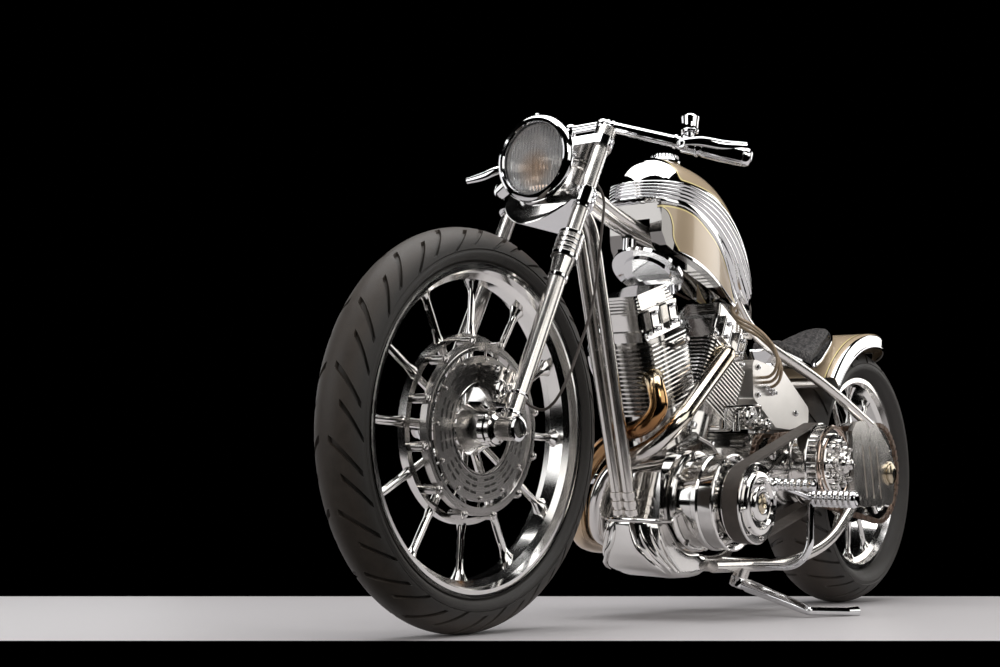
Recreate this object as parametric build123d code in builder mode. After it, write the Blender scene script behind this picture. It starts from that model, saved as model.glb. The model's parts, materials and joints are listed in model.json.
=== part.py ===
# Chopper motorcycle, full size, standing on its side stand.
# Every piece is drawn on the upright machine: X forward from the rear axle, Y to the rider's
# left, Z up from the ground, in millimetres.  parked() then leans it and sets its origin.
import os
from math import atan, cos, degrees, radians, sin, tan

from build123d import *

os.makedirs("parts", exist_ok=True)

# ---------------------------------------------------------------- driving dimensions
wheelbase = 1502.0
lean = 3.23                    # degrees to the left, onto the side stand
overall_middle = (755.5, 26.15)    # middle of the parked machine, forward and to the left
overall_low = -0.1525          # its lowest point once leaned
seat = 0.2                     # gap between pieces that sit on each other
running_gap = 0.5              # gap round a pin or shaft that turns

# wheels and tyres
front_radius = 340.0
front_crown = 46.0             # radius of the tread's round
front_tyre_wall = 63.0         # from the rim's lip to the tread
front_lip_radius = front_radius - front_tyre_wall
front_lip_half = 36.0          # half the width over the rim's lips
rim_well_depth = 20.0
front_well_radius = front_lip_radius - rim_well_depth
front_hub_radius = 28.0
front_hub_half = 60.0
rear_radius = 331.0
rear_crown = 96.0
rear_tyre_wall = 88.0
rear_lip_radius = rear_radius - rear_tyre_wall
rear_lip_half = 62.0
rear_well_radius = rear_lip_radius - rim_well_depth - 1
rear_hub_radius = 32.0
rear_hub_half = 92.0
rim_wall = 5.0
bead_height = 8.0
spoke_count = 12
spoke_radius = 6.2
hub_ring_radius = 161.0        # outer ring that carries the spokes
hub_ring_depth = 11.0
hub_ring_width = 16.0
rear_ring_radius = 128.0
axle_radius = 12.0
axle_bore = 6.0
axle_bore_depth = 60.0
axle_nut_length = 18.0         # how far the front axle's nut stands out on the right
front_bore_depth = 18.0

# front brake: a rotor held at its outer edge, gripped from the inside
rotor_outer = 122.0
rotor_inner = 74.0
rotor_y = 25.0
rotor_thick = 5.0
carrier_outer = 145.0
carrier_inner = 131.0

# steering head and fork
rake = 24.5                    # degrees from vertical
fork_offset = 50.0             # legs ahead of the steering axis
leg_half = 81.0                # half the distance between the legs
fork_tube_radius = 14.5
slider_radius = 15.8
slider_collar_radius = 23.5
slider_collar_low = 345.0      # stations along the fork, up from the axle
slider_collar_high = 388.0
slider_taper_low = 300.0
lower_clamp_low = 455.0
clamp_thick = 30.0
upper_clamp_low = 588.0
upper_clamp_thick = 20.0
fork_cap_high = 630.0
fork_cap_radius = 18.0
stem_radius = 13.0
neck_radius = 27.0
neck_gap = 1.0                 # bearing seals between the neck and the clamps

# headlight
lamp_station = 520.5           # up the fork from the axle, to the lamp's middle
lamp_ahead = 72.0
lamp_radius = 80.0
lamp_glass_radius = 68.0

# handlebar
# columns: station up the fork, to the left, ahead of the legs
riser_top_place = (678.1, 37.5, -33.8)
grip_end_place = (656.4, 298.0, -164.6)
bar_radius = 11.0
grip_radius = 16.0
grip_length = 104.0

# engine
crank_x = 851.0
crank_z = 238.0
front_cylinder_angle = 21.0    # degrees from vertical, forward positive
rear_cylinder_angle = -24.0
deck_distance = 130.0          # cylinder base from the crank, along the cylinder
barrel_radius = 50.0
fins_low = 205.0
fins_high = 350.0
fin_pitch = 9.0
fin_thick = 3.2
fin_outer = 88.0               # fins reach this far from the cylinder's axis, away from the other
fin_half_width = 66.0
rocker_low = 352.0
rocker_half_length = 74.0
rocker_half_width = 57.0
rocker_ribs = 6
rib_pitch = 6.6
cover_spread = 35.0            # the two covers on each rocker box's left, from its middle
cover_width = 38.0
cover_height = 52.0
cover_reach = 16.0
case_half_width = 62.0
case_radius = 94.0
case_left = 154.0
case_right = 98.0
cam_cover_radius = 76.0

# dish under the tank
dish_radius = 75.0
dish_post_top = 760.0

# primary drive
clutch_x = 550.0
clutch_z = 330.0
motor_plate_y = 156.0
motor_plate_thick = 6.0
plate_rib = 4.0                # height of the ribs on the motor plate
belt_y = 170.0
belt_width = 32.0
belt_thick = 5.0
front_pulley_radius = 75.0
rear_pulley_radius = 84.0
pulley_cap_radius = 62.0
pulley_cap_y = 218.0

# final drive
chain_y = 99.0
chain_width = 16.0
chain_height = 14.5
rear_sprocket_pitch = 121.5    # pitch radius
front_sprocket_pitch = 61.0
sprocket_thick = 6.0

# frame
tube_radius = 12.5
downtube_half = 13.5           # half the distance between the pair of front tubes
backbone_half = 17.0
axle_plate_y = 126.0
axle_plate_thick = 12.0
rail_z = 105.0
rail_half = 74.0

# belly pan under the crankcase
pan_top = 198.0
pan_rear = 785.0
pan_half_width = 64.0

# exhaust
front_port_distance = 275.0
front_port_turn = 40.0         # degrees to the left from straight ahead of the cylinder
rear_port_distance = 320.0
rear_port_turn = 60.0
port_reach = 60.0              # port face from the cylinder's axis
pipe_radius = 18.0
pipe_bore = 15.5

# side stand: the leg's ends, and the way it folds
stand_pivot = (673.0, 74.0, 72.0)
stand_ankle = (690.0, 244.0, 27.0)
stand_toe = (590.0, 284.0, 24.9)
stand_bar_radius = 9.0
stand_eye_radius = 16.0
stand_eye_half = 10.0

# bodywork
tunnel_half = 34.0             # the tank's tunnel over the backbone
tank_foot = 0.93               # the tank's width at its bottom, as a share of its widest
arch_half = 57.0               # the open arch at the tank's front
arch_spring = 775.0
arch_top = 834.0
arch_depth = 190.0
tank_mount_x = 872.0           # crossbar of the frame that the tank sits on
fender_clear = 16.0            # tread to the fender
fender_inner = rear_radius + fender_clear
fender_wall = 5.0
fender_half = 110.0
fender_skirt = 26.0
fender_front = 38.0            # degrees up from straight ahead of the rear axle
fender_rear = 112.0
oil_tank_round = 14.0
brake_hose_radius = 2.5
oil_hose_radius = 3.5
oil_hose_count = 3
oil_hose_pitch = 14.5
seat_half_width = 82.0
seat_thick = 28.0
pan_wall = 5.0
seat_fall = 0.47               # slope of the seat, down to the front
seat_rear = 112.0
seat_front = 425.0


# ---------------------------------------------------------------- places and helpers
front_axle = Vector(wheelbase, 0, front_radius)
rear_axle = Vector(0, 0, rear_radius)
fork_up = Vector(-sin(radians(rake)), 0, cos(radians(rake)))
fork_ahead = Vector(cos(radians(rake)), 0, sin(radians(rake)))
to_left = Vector(0, 1, 0)


def on_fork(station, left=0.0, ahead=0.0):
    """A point on the fork: station up from the axle, to the left, and ahead of the legs."""
    return front_axle + fork_up * station + to_left * left + fork_ahead * ahead


def across_fork(station, left=0.0, ahead=0.0):
    """A plane square to the fork, its x ahead and its y to the left."""
    return Plane(origin=on_fork(station, left, ahead), x_dir=fork_ahead, z_dir=fork_up)


def cylinder_up(angle):
    return Vector(sin(radians(angle)), 0, cos(radians(angle)))


def on_cylinder(angle, distance, ahead=0.0, left=0.0):
    up = cylinder_up(angle)
    forward = Vector(cos(radians(angle)), 0, -sin(radians(angle)))
    return Vector(crank_x, 0, crank_z) + up * distance + forward * ahead + to_left * left


def across_cylinder(angle, distance):
    forward = Vector(cos(radians(angle)), 0, -sin(radians(angle)))
    return Plane(origin=on_cylinder(angle, distance), x_dir=forward, z_dir=cylinder_up(angle))


def side_plane(y):
    """A plane for side views: x forward, y up, and its extrusions go to the right."""
    return Plane(origin=(0, y, 0), x_dir=(1, 0, 0), z_dir=(0, -1, 0))


def wheel_section(axle):
    """A plane through a wheel's axle: x along the axle to the left, y outwards."""
    return Plane(origin=axle, x_dir=(0, 1, 0), z_dir=(1, 0, 0))


def behind_axle(angle, radius):
    """A side-view point round the rear axle, at degrees up from straight ahead."""
    return (radius * cos(radians(angle)), rear_radius + radius * sin(radians(angle)))


def rod(start, end, radius, mode=Mode.ADD):
    """A round bar from start to end, in the part being built."""
    line = Vector(end) - Vector(start)
    with Locations(Plane(origin=start, z_dir=line).location):
        Cylinder(radius, line.length, align=(Align.CENTER, Align.CENTER, Align.MIN), mode=mode)


def widest_bends(points):
    """The largest arc that each corner's two runs leave room for."""
    bends = []
    for before, here, after in zip(points, points[1:], points[2:]):
        arriving = Vector(here) - Vector(before)
        leaving = Vector(after) - Vector(here)
        turn = radians(arriving.get_angle(leaving))
        bends.append(0.45 * min(arriving.length, leaving.length) / tan(turn / 2))
    return bends


def tube(points, radius):
    """A round bar along straight runs joined by arcs."""
    with BuildLine() as route:
        FilletPolyline(*points, radius=widest_bends(points))
    with BuildSketch(Plane(origin=route.line @ 0, z_dir=route.line % 0)) as section:
        Circle(radius)
    sweep(section.sketch, path=route.line)


def slab(outline, left, right, mode=Mode.ADD):
    """A side-view outline of straight edges, as thick as from left to right."""
    with BuildSketch(side_plane(left)) as face:
        with BuildLine():
            Polyline(*outline, close=True)
        make_face()
    extrude(face.sketch, amount=left - right, mode=mode)


def turned(section, axle, mode=Mode.ADD):
    """A ring or disc: a closed section of (left, radius) points, turned about an axle."""
    with BuildSketch(wheel_section(axle)) as face:
        with BuildLine():
            Polyline(*section, close=True)
        make_face()
    revolve(face.sketch, axis=Axis(axle, to_left), mode=mode)


def belt_loop(small, large, grow, y, width, mode=Mode.ADD):
    """The loop round two pulleys, each given as (x, z, radius)."""
    with BuildSketch(side_plane(y + width)) as loop:
        for x, z, radius in (small, large):
            with Locations((x, z)):
                Circle(radius + grow)
        make_hull()
    extrude(loop.sketch, amount=width, mode=mode)


parked_place = Location((-overall_middle[0], -overall_middle[1], -overall_low)) * Location((0, 0, 0), (-lean, 0, 0))


def keep(builder, name):
    """Lean the finished piece, name it and write it."""
    piece = parked_place * builder.part
    piece.label = name
    export_step(piece, "parts/" + name + ".step")


# ---------------------------------------------------------------- tyres
# columns: name, axle, radius, crown, lip radius, lip half width, shoulder, cavity, tread thickness
tyres = (
    ("front_tyre", front_axle, front_radius, front_crown, front_lip_radius, front_lip_half, 86, 27, 14),
    ("rear_tyre", rear_axle, rear_radius, rear_crown, rear_lip_radius, rear_lip_half, 64, 52, 16),
)
for name, axle, radius, crown, lip_radius, lip_half, shoulder, cavity, tread in tyres:
    bead_half = lip_half - rim_wall - seat
    bead_radius = lip_radius - bead_height + seat
    edge = (crown * sin(radians(shoulder)), radius - crown + crown * cos(radians(shoulder)))
    way = (cos(radians(shoulder)), -sin(radians(shoulder)))
    with BuildPart() as tyre:
        with BuildSketch(wheel_section(axle)):
            with BuildLine():
                ThreePointArc((-edge[0], edge[1]), (0, radius), edge)
                TangentArc(edge, (bead_half + 1.5, lip_radius + 1), tangent=way)
                TangentArc((-edge[0], edge[1]), (-bead_half - 1.5, lip_radius + 1), tangent=(-way[0], way[1]))
                Polyline((bead_half + 1.5, lip_radius + 1), (bead_half, lip_radius + seat),
                         (bead_half, bead_radius), (-bead_half, bead_radius),
                         (-bead_half, lip_radius + seat), (-bead_half - 1.5, lip_radius + 1))
            make_face()
            with Locations((0, radius - tread - cavity)):
                Circle(cavity, mode=Mode.SUBTRACT)
            with Locations((0, bead_radius)):
                Rectangle(2 * cavity * 0.7, cavity, mode=Mode.SUBTRACT)
        revolve(axis=Axis(axle, to_left))
    keep(tyre, name)


# ---------------------------------------------------------------- rims with their spokes
def spokes(axle, inner, outer, left, radius, count):
    for number in range(count):
        turn = radians(number * 360 / count)
        out = Vector(sin(turn), 0, cos(turn))
        rod(axle + out * inner + to_left * left, axle + out * outer + to_left * left, radius)


# columns: name, axle, lip radius, lip half, well radius, ring radius, ring left, hub radius, hub left, hub right
rims = (
    ("front_rim", front_axle, front_lip_radius, front_lip_half, front_well_radius,
     hub_ring_radius, -8, front_hub_radius, front_hub_half, -front_hub_half),
    ("rear_rim", rear_axle, rear_lip_radius, rear_lip_half, rear_well_radius,
     rear_ring_radius, 30, rear_hub_radius, rear_hub_half, -rear_hub_half),
)
for name, axle, lip_radius, lip_half, well_radius, ring, ring_y, hub, hub_left, hub_right in rims:
    bead = lip_radius - bead_height
    half = ((0, well_radius), (lip_half - 26, well_radius), (lip_half - 18, bead - 1),
            (lip_half - rim_wall, bead), (lip_half - rim_wall, lip_radius), (lip_half, lip_radius),
            (lip_half, bead - 3), (lip_half - 14, bead - 7), (lip_half - 22, well_radius - rim_wall),
            (0, well_radius - rim_wall))
    with BuildPart() as rim:
        turned(half + tuple((-left, out) for left, out in reversed(half[1:-1])), axle)
        turned(((ring_y - hub_ring_width / 2, ring - hub_ring_depth), (ring_y - hub_ring_width / 2, ring),
                (ring_y + hub_ring_width / 2, ring), (ring_y + hub_ring_width / 2, ring - hub_ring_depth)), axle)
        turned(((hub_right, axle_radius + running_gap), (hub_right, hub), (hub_left, hub),
                (hub_left, axle_radius + running_gap)), axle)
        spokes(axle, ring - hub_ring_depth / 2, well_radius - 2, ring_y, spoke_radius, spoke_count)
        spokes(axle, hub - 3, ring - hub_ring_depth / 2, ring_y, spoke_radius, spoke_count // 2)
    keep(rim, name)

# ---------------------------------------------------------------- front brake disc
with BuildPart() as front_disc:
    back = rotor_y
    front = rotor_y + rotor_thick
    turned(((back, rotor_inner), (front, rotor_inner), (front, rotor_outer), (back, rotor_outer)), front_axle)
    turned(((back - 8, carrier_inner), (front, carrier_inner), (front, carrier_outer), (back - 8, carrier_outer)),
           front_axle)
    spokes(front_axle, rotor_outer - 4, carrier_inner + 2, rotor_y + rotor_thick / 2, 2, spoke_count)
    for number in range(spoke_count):
        turn = radians((number + 0.5) * 360 / spoke_count)
        boss = front_axle + Vector(sin(turn), 0, cos(turn)) * (carrier_outer + 3)
        rod(boss + to_left * seat, boss + to_left * (front - 1), 8)
keep(front_disc, "front_disc")

# ---------------------------------------------------------------- rear sprocket and disc
tooth_tip = rear_sprocket_pitch - chain_height / 2 - running_gap
with BuildPart() as sprocket:
    middle = chain_y + chain_width / 2
    near = middle - sprocket_thick / 2
    far = middle + sprocket_thick / 2
    turned(((near, tooth_tip - 16), (far, tooth_tip - 16), (far, tooth_tip), (near, tooth_tip)), rear_axle)
    turned(((rear_hub_half + seat, axle_radius + running_gap), (far, axle_radius + running_gap), (far, 40),
            (rear_hub_half + seat, 40)), rear_axle)
    spokes(rear_axle, 36, tooth_tip - 12, middle, 2.8, 8)
keep(sprocket, "rear_sprocket")

with BuildPart() as rear_disc:
    turned(((-rear_hub_half - seat, axle_radius + running_gap), (-rear_hub_half - 12, axle_radius + running_gap),
            (-rear_hub_half - 12, 45), (-rear_hub_half - 7, 45), (-rear_hub_half - 7, 125),
            (-rear_hub_half - 1, 125), (-rear_hub_half - 1, 45), (-rear_hub_half - seat, 45)), rear_axle)
keep(rear_disc, "rear_disc")

# ---------------------------------------------------------------- axles
axle_end_front = leg_half + slider_radius + 5
axle_nut_end = axle_end_front + axle_nut_length
with BuildPart() as front_spindle:
    rod(front_axle - to_left * axle_nut_end, front_axle + to_left * axle_end_front, axle_radius)
    rod(front_axle - to_left * (axle_nut_end - 2), front_axle - to_left * (leg_half + slider_radius + 1 + seat), 17)
    rod(front_axle - to_left * axle_nut_end, front_axle - to_left * (axle_nut_end - front_bore_depth), axle_bore,
        mode=Mode.SUBTRACT)
keep(front_spindle, "front_axle")

axle_end_rear = axle_plate_y + axle_plate_thick + 12
with BuildPart() as rear_spindle:
    rod(rear_axle - to_left * axle_end_rear, rear_axle + to_left * axle_end_rear, axle_radius)
    for side in (-1, 1):
        rod(rear_axle + to_left * side * (axle_plate_y + axle_plate_thick + seat),
            rear_axle + to_left * side * (axle_end_rear - 1), 19)
    rod(rear_axle - to_left * axle_end_rear, rear_axle - to_left * (axle_end_rear - axle_bore_depth),
        axle_bore, mode=Mode.SUBTRACT)
keep(rear_spindle, "rear_axle")

# ---------------------------------------------------------------- fork
with BuildPart() as triple_tree:
    for low, thick, round_leg in ((lower_clamp_low, clamp_thick, 22), (upper_clamp_low, upper_clamp_thick, 20)):
        with BuildSketch(across_fork(low)):
            with Locations((0, leg_half), (0, -leg_half)):
                Circle(round_leg)
            with Locations((-fork_offset, 0)):
                Circle(26)
            make_hull()
            with Locations((0, leg_half), (0, -leg_half)):
                Circle(fork_tube_radius + seat, mode=Mode.SUBTRACT)
        extrude(amount=thick)
    rod(on_fork(lower_clamp_low, 0, -fork_offset), on_fork(upper_clamp_low + upper_clamp_thick, 0, -fork_offset),
        stem_radius)
keep(triple_tree, "triple_tree")

with BuildPart() as fork_tubes:
    for side in (-1, 1):
        rod(on_fork(slider_collar_high - 30, side * leg_half), on_fork(fork_cap_high - 6, side * leg_half),
            fork_tube_radius)
        rod(on_fork(upper_clamp_low + upper_clamp_thick + seat, side * leg_half),
            on_fork(fork_cap_high, side * leg_half), fork_cap_radius)
keep(fork_tubes, "fork_tubes")

with BuildPart() as fork_sliders:
    for side in (-1, 1):
        axis = Axis(on_fork(0, side * leg_half), fork_up)
        section = Plane(origin=on_fork(0, side * leg_half), x_dir=fork_ahead, z_dir=-to_left)
        with BuildSketch(section):
            with BuildLine():
                Polyline((0, -12), (slider_radius, -12), (slider_radius, slider_taper_low),
                         (slider_collar_radius - 3, slider_collar_low), (slider_collar_radius, slider_collar_low),
                         (slider_collar_radius, slider_collar_high), (0, slider_collar_high), close=True)
            make_face()
        revolve(axis=axis)
        rod(on_fork(slider_collar_high - 30 - seat, side * leg_half), on_fork(slider_collar_high, side * leg_half),
            fork_tube_radius + seat, mode=Mode.SUBTRACT)
        rod(front_axle + to_left * side * (leg_half - slider_radius - 1),
            front_axle + to_left * side * (leg_half + slider_radius + 1), slider_radius + 4)
        rod(front_axle + to_left * side * (leg_half - 40), front_axle + to_left * side * (leg_half + 40),
            axle_radius + seat, mode=Mode.SUBTRACT)
keep(fork_sliders, "fork_sliders")

# ---------------------------------------------------------------- headlight
lamp_middle = on_fork(lamp_station, 0, lamp_ahead)
lamp_outside = ((4, lamp_radius), (-8, lamp_radius), (-12, lamp_radius - 5), (-24, lamp_radius - 19),
                (-34, lamp_radius - 33), (-46, lamp_radius - 49), (-54, lamp_radius - 66), (-56, 0))
lamp_inside = ((4, lamp_glass_radius), (-8, lamp_glass_radius), (-22, lamp_radius - 23), (-31, lamp_radius - 36),
               (-43, lamp_radius - 52), (-51, lamp_radius - 68), (-53, 0))
lamp_section = Plane(origin=lamp_middle, x_dir=(1, 0, 0), z_dir=(0, -1, 0))
lamp_axis = Axis(lamp_middle, (1, 0, 0))
with BuildPart() as lamp_shell:
    lamp_foot = on_fork(lower_clamp_low + clamp_thick + seat, 0, 16)
    rod(lamp_foot, lamp_foot + fork_up * 34, 9)
    for outline, mode in ((lamp_outside, Mode.ADD), (lamp_inside, Mode.SUBTRACT)):
        with BuildSketch(lamp_section):
            with BuildLine():
                Polyline((4, 0), *outline, close=True)
            make_face()
        revolve(axis=lamp_axis, mode=mode)
keep(lamp_shell, "headlight_shell")

with BuildPart() as lamp_lens:
    with BuildSketch(lamp_section):
        with BuildLine():
            Polyline((6, 0), (-8 + seat, 0), (-8 + seat, lamp_glass_radius - seat), (-2, lamp_glass_radius - seat))
            TangentArc((6, 0), (-2, lamp_glass_radius - seat), tangent=(0, 1))
        make_face()
    revolve(axis=lamp_axis)
keep(lamp_lens, "headlight_lens")

# ---------------------------------------------------------------- handlebar, grips and levers
riser_top = on_fork(*riser_top_place)
grip_end = on_fork(*grip_end_place)
bar_line = grip_end - riser_top
bar_reach = bar_line.length
bar_way = bar_line.normalized()


def on_bar(distance, side=1):
    """A point on the left or right bar, measured from its riser."""
    point = riser_top + bar_way * distance
    return Vector(point.X, side * point.Y, point.Z)


with BuildPart() as handlebar:
    for side in (-1, 1):
        riser_foot = on_fork(upper_clamp_low + upper_clamp_thick + seat, side * riser_top.Y, -fork_offset + 12)
        rod(riser_foot, riser_foot + fork_up * 16, 15)
        rod(riser_foot + fork_up * 12, on_bar(0, side), 12)
        with Locations(on_bar(0, side)):
            Sphere(bar_radius + 2)
        rod(on_bar(0, side), on_bar(bar_reach - 8, side), bar_radius)
    rod(on_bar(0, -1), on_bar(0, 1), bar_radius - 2)
keep(handlebar, "handlebar")

with BuildPart() as grips:
    for side in (-1, 1):
        rod(on_bar(bar_reach - grip_length, side), on_bar(bar_reach, side), grip_radius)
        rod(on_bar(bar_reach - grip_length - 1, side), on_bar(bar_reach - 8 + seat, side), bar_radius + seat,
            mode=Mode.SUBTRACT)
keep(grips, "grips")

with BuildPart() as hand_controls:
    for side in (-1, 1):
        middle = bar_reach - grip_length - 16
        perch = on_bar(middle, side)
        rod(on_bar(middle - 12, side), on_bar(middle + 12, side), bar_radius + 6)
        rod(perch, perch + Vector(30, 0, -4), 8)
        lever_start = perch + Vector(30, 0, -4)
        lever_end = on_bar(bar_reach - 8, side) + Vector(34, 0, 2)
        rod(lever_start, lever_end, 4.5)
        with Locations(lever_start, lever_end):
            Sphere(5.5)
        rod(perch, perch + Vector(4, 0, 50), 9)
        rod(perch + Vector(0, 0, 24), perch + Vector(0, 0, 54), 15)
        rod(on_bar(middle - 30, side), on_bar(middle + 30, side), bar_radius + seat, mode=Mode.SUBTRACT)
keep(hand_controls, "hand_controls")

# ---------------------------------------------------------------- front caliper
with BuildPart() as caliper:
    leg_face = leg_half - slider_radius
    slab(((wheelbase - 46, front_radius + 40), (wheelbase + 20, front_radius + 44),
          (wheelbase + 20, front_radius + 104), (wheelbase - 46, front_radius + 100)), leg_face - seat, 6)
    turned(((rotor_y - 3, rotor_inner - 4), (rotor_y + rotor_thick + 3, rotor_inner - 4),
            (rotor_y + rotor_thick + 3, carrier_outer), (rotor_y - 3, carrier_outer)), front_axle, mode=Mode.SUBTRACT)
keep(caliper, "front_caliper")

# ---------------------------------------------------------------- engine
deck_reach = 64.0
deck_notch = deck_distance * tan(radians((front_cylinder_angle - rear_cylinder_angle) / 2))
front_deck = on_cylinder(front_cylinder_angle, deck_distance, deck_reach)
deck_valley = on_cylinder(front_cylinder_angle, deck_distance, -deck_notch)
rear_deck = on_cylinder(rear_cylinder_angle, deck_distance, -deck_reach)
with BuildPart() as crankcase:
    slab(((crank_x - 101, crank_z - 73), (crank_x + 54, crank_z - 77), (crank_x + 97, pan_top + seat),
          (crank_x + 132, pan_top + seat), (crank_x + 132, crank_z + 52), (front_deck.X, front_deck.Z),
          (deck_valley.X, deck_valley.Z), (rear_deck.X, rear_deck.Z), (crank_x - 116, crank_z + 90)),
         case_half_width, -case_half_width)
    rod((crank_x, -case_half_width, crank_z), (crank_x, case_left, crank_z), case_radius)
    rod((crank_x, -case_right, crank_z + 10), (crank_x, 0, crank_z + 10), cam_cover_radius)
keep(crankcase, "crankcase")


def port_way(angle, turn):
    """The way an exhaust port faces, turned to the left from straight ahead of its cylinder."""
    forward = Vector(cos(radians(angle)), 0, -sin(radians(angle)))
    return forward * cos(radians(turn)) + to_left * sin(radians(turn))


# columns: name, angle, which way is away from the other cylinder, port
front_port_way = port_way(front_cylinder_angle, front_port_turn)
front_port_face = on_cylinder(front_cylinder_angle, front_port_distance) + front_port_way * port_reach
rear_port_way = port_way(rear_cylinder_angle, rear_port_turn)
rear_port_face = on_cylinder(rear_cylinder_angle, rear_port_distance) + rear_port_way * port_reach
for name, angle, away, port_face, port in (
        ("front", front_cylinder_angle, 1, front_port_face, front_port_way),
        ("rear", rear_cylinder_angle, -1, rear_port_face, rear_port_way)):
    with BuildPart() as cylinder:
        with BuildSketch(across_cylinder(angle, deck_distance + seat)):
            Circle(barrel_radius)
        extrude(amount=rocker_low - deck_distance - 2 * seat)
        fin = fins_low
        while fin < fins_high - fin_thick:
            inner = min(fin_outer, fin * tan(radians((front_cylinder_angle - rear_cylinder_angle) / 2)) - 3)
            with BuildSketch(across_cylinder(angle, fin)):
                with Locations((away * (fin_outer - inner) / 2, 0)):
                    RectangleRounded(fin_outer + inner, 2 * fin_half_width, 22)
            extrude(amount=fin_thick)
            fin += fin_pitch
        rod(port_face, port_face + port * 80, pipe_radius + 5, mode=Mode.SUBTRACT)
        rod(port_face - port * 50, port_face - port * seat, pipe_radius + 2)
    keep(cylinder, name + "_cylinder")
    # columns: distance from the crank, thickness, how much smaller than the base
    layers = [(rocker_low, 20, 0), (rocker_low + 20, 34, 9)]
    layers += [(rocker_low + 54 + number * rib_pitch, 3.4, 2 + number * 2) for number in range(rocker_ribs)]
    layers += [(rocker_low + 54, (rocker_ribs - 1) * rib_pitch, 14)]
    with BuildPart() as rocker:
        for distance, thick, less in layers:
            with BuildSketch(across_cylinder(angle, distance)):
                RectangleRounded(2 * (rocker_half_length - less), 2 * (rocker_half_width - less), 8)
            extrude(amount=thick)
        for ahead in (-cover_spread, cover_spread):
            with BuildSketch(across_cylinder(angle, rocker_low + 8)):
                with Locations((ahead, rocker_half_width - 8)):
                    Rectangle(cover_width, 2 * cover_reach)
            extrude(amount=cover_height)
    keep(rocker, name + "_rocker_box")

with BuildPart() as belly_pan:
    slab(((crank_x + 97, pan_top), (crank_x + 74, crank_z - 63), (crank_x + 54, crank_z - 84),
          (crank_x + 19, crank_z - 100), (crank_x - 31, crank_z - 104), (pan_rear, crank_z - 108), (pan_rear, 96),
          (crank_x - 31, 84), (crank_x + 60, 82), (crank_x + 128, 98), (crank_x + 160, 132),
          (crank_x + 172, pan_top)), pan_half_width, -pan_half_width)
    with BuildSketch(Plane.XY) as plan:
        with Locations((crank_x + 172 - 210, 0)):
            Rectangle(420, 2 * pan_half_width)
        fillet(plan.vertices().group_by(Axis.X)[-1], pan_half_width - 4)
    extrude(amount=400, mode=Mode.INTERSECT)
keep(belly_pan, "belly_pan")

# intake on the right: manifold, carburettor and round air cleaner
intake = on_cylinder((front_cylinder_angle + rear_cylinder_angle) / 2, 320)
port_level = 320 * cos(radians((front_cylinder_angle - rear_cylinder_angle) / 2))
with BuildPart() as air_cleaner:
    for angle, ahead in ((front_cylinder_angle, -fin_outer - seat), (rear_cylinder_angle, fin_outer + seat)):
        rod(on_cylinder(angle, port_level, ahead, -30), intake - to_left * 30, 17)
    rod(intake - to_left * 12, intake - to_left * 96, 21)
    rod(intake - to_left * 84, intake - to_left * 138, 31)
    rod(intake + Vector(-8, -138, -6), intake + Vector(-8, -176, -6), 70)
keep(air_cleaner, "air_cleaner")

# exhaust pipes: middle lines, from the ports to the open ends low on the right
pipe_routes = (
    ("front_exhaust_pipe", (
        front_port_face, front_port_face + front_port_way * 54, (1032, 88, 410), (1028, 50, 376), (1018, -10, 364),
        (1012, -66, 330), (1010, -112, 262), (1008, -116, 200), (985, -122, 152), (930, -124, 140), (490, -124, 140))),
    ("rear_exhaust_pipe", (
        rear_port_face, rear_port_face + rear_port_way * 48, (985, 100, 388), (1000, 50, 336), (1000, -10, 312),
        (1003, -48, 284), (1006, -70, 236), (985, -84, 168), (930, -86, 150), (520, -86, 150))),
)
for name, route in pipe_routes:
    with BuildPart() as pipe:
        tube(route, pipe_radius)
        end = Vector(route[-1])
        rod(end + Vector(60, 0, 0), end - Vector(1, 0, 0), pipe_bore, mode=Mode.SUBTRACT)
    keep(pipe, name)

# polished dish between the front rocker box and the tank, hung on its post from the backbone
dish_middle = Vector(951, 0, 703)
dish_down = Vector(0.5, 0, -0.866)
with BuildPart() as dish:
    rod(dish_middle, dish_middle + dish_down * 8, dish_radius)
    rod(dish_middle + dish_down * 8, dish_middle + dish_down * 13, dish_radius - 24)
    rod((1003, -14, 735), (1003, -14, dish_post_top), 14)
keep(dish, "engine_mount_dish")

# ---------------------------------------------------------------- primary drive
front_pulley_place = (crank_x, crank_z, front_pulley_radius)
rear_pulley_place = (clutch_x, clutch_z, rear_pulley_radius)
behind_belt = motor_plate_y + motor_plate_thick + seat
with BuildPart() as motor_plate:
    belt_loop(front_pulley_place, rear_pulley_place, -12, motor_plate_y, motor_plate_thick)
    middle = Vector(652, 0, 322)
    corners = (Vector(748, 0, 292), Vector(606, 0, 366), Vector(604, 0, 304))
    for size in (1.0, 0.72, 0.44):
        for share, mode in ((size, Mode.ADD), (size - 0.13, Mode.SUBTRACT)):
            outline = [middle + (corner - middle) * share for corner in corners]
            slab([(point.X, point.Z) for point in outline], motor_plate_y + motor_plate_thick + plate_rib,
                 motor_plate_y + motor_plate_thick, mode=mode)
keep(motor_plate, "motor_plate")

with BuildPart() as drive_belt:
    belt_loop(front_pulley_place, rear_pulley_place, belt_thick, belt_y, belt_width)
    belt_loop(front_pulley_place, rear_pulley_place, seat, belt_y, belt_width, mode=Mode.SUBTRACT)
keep(drive_belt, "drive_belt")

# columns: name, place, steps outwards as (left end, radius)
pulleys = (
    ("front_pulley", front_pulley_place, ((belt_y, 40), (belt_y + belt_width, front_pulley_radius),
                                          (pulley_cap_y - 3, pulley_cap_radius), (pulley_cap_y, 20))),
    ("clutch", rear_pulley_place, ((belt_y, 40), (belt_y + belt_width, rear_pulley_radius), (belt_y + 56, 78),
                                   (belt_y + 68, 70), (belt_y + 84, 34), (belt_y + 104, 14))),
)
for name, (x, z, _), steps in pulleys:
    with BuildPart() as pulley:
        start = behind_belt
        for end, radius in steps:
            rod((x, start, z), (x, end, z), radius)
            start = end
    keep(pulley, name)

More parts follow.
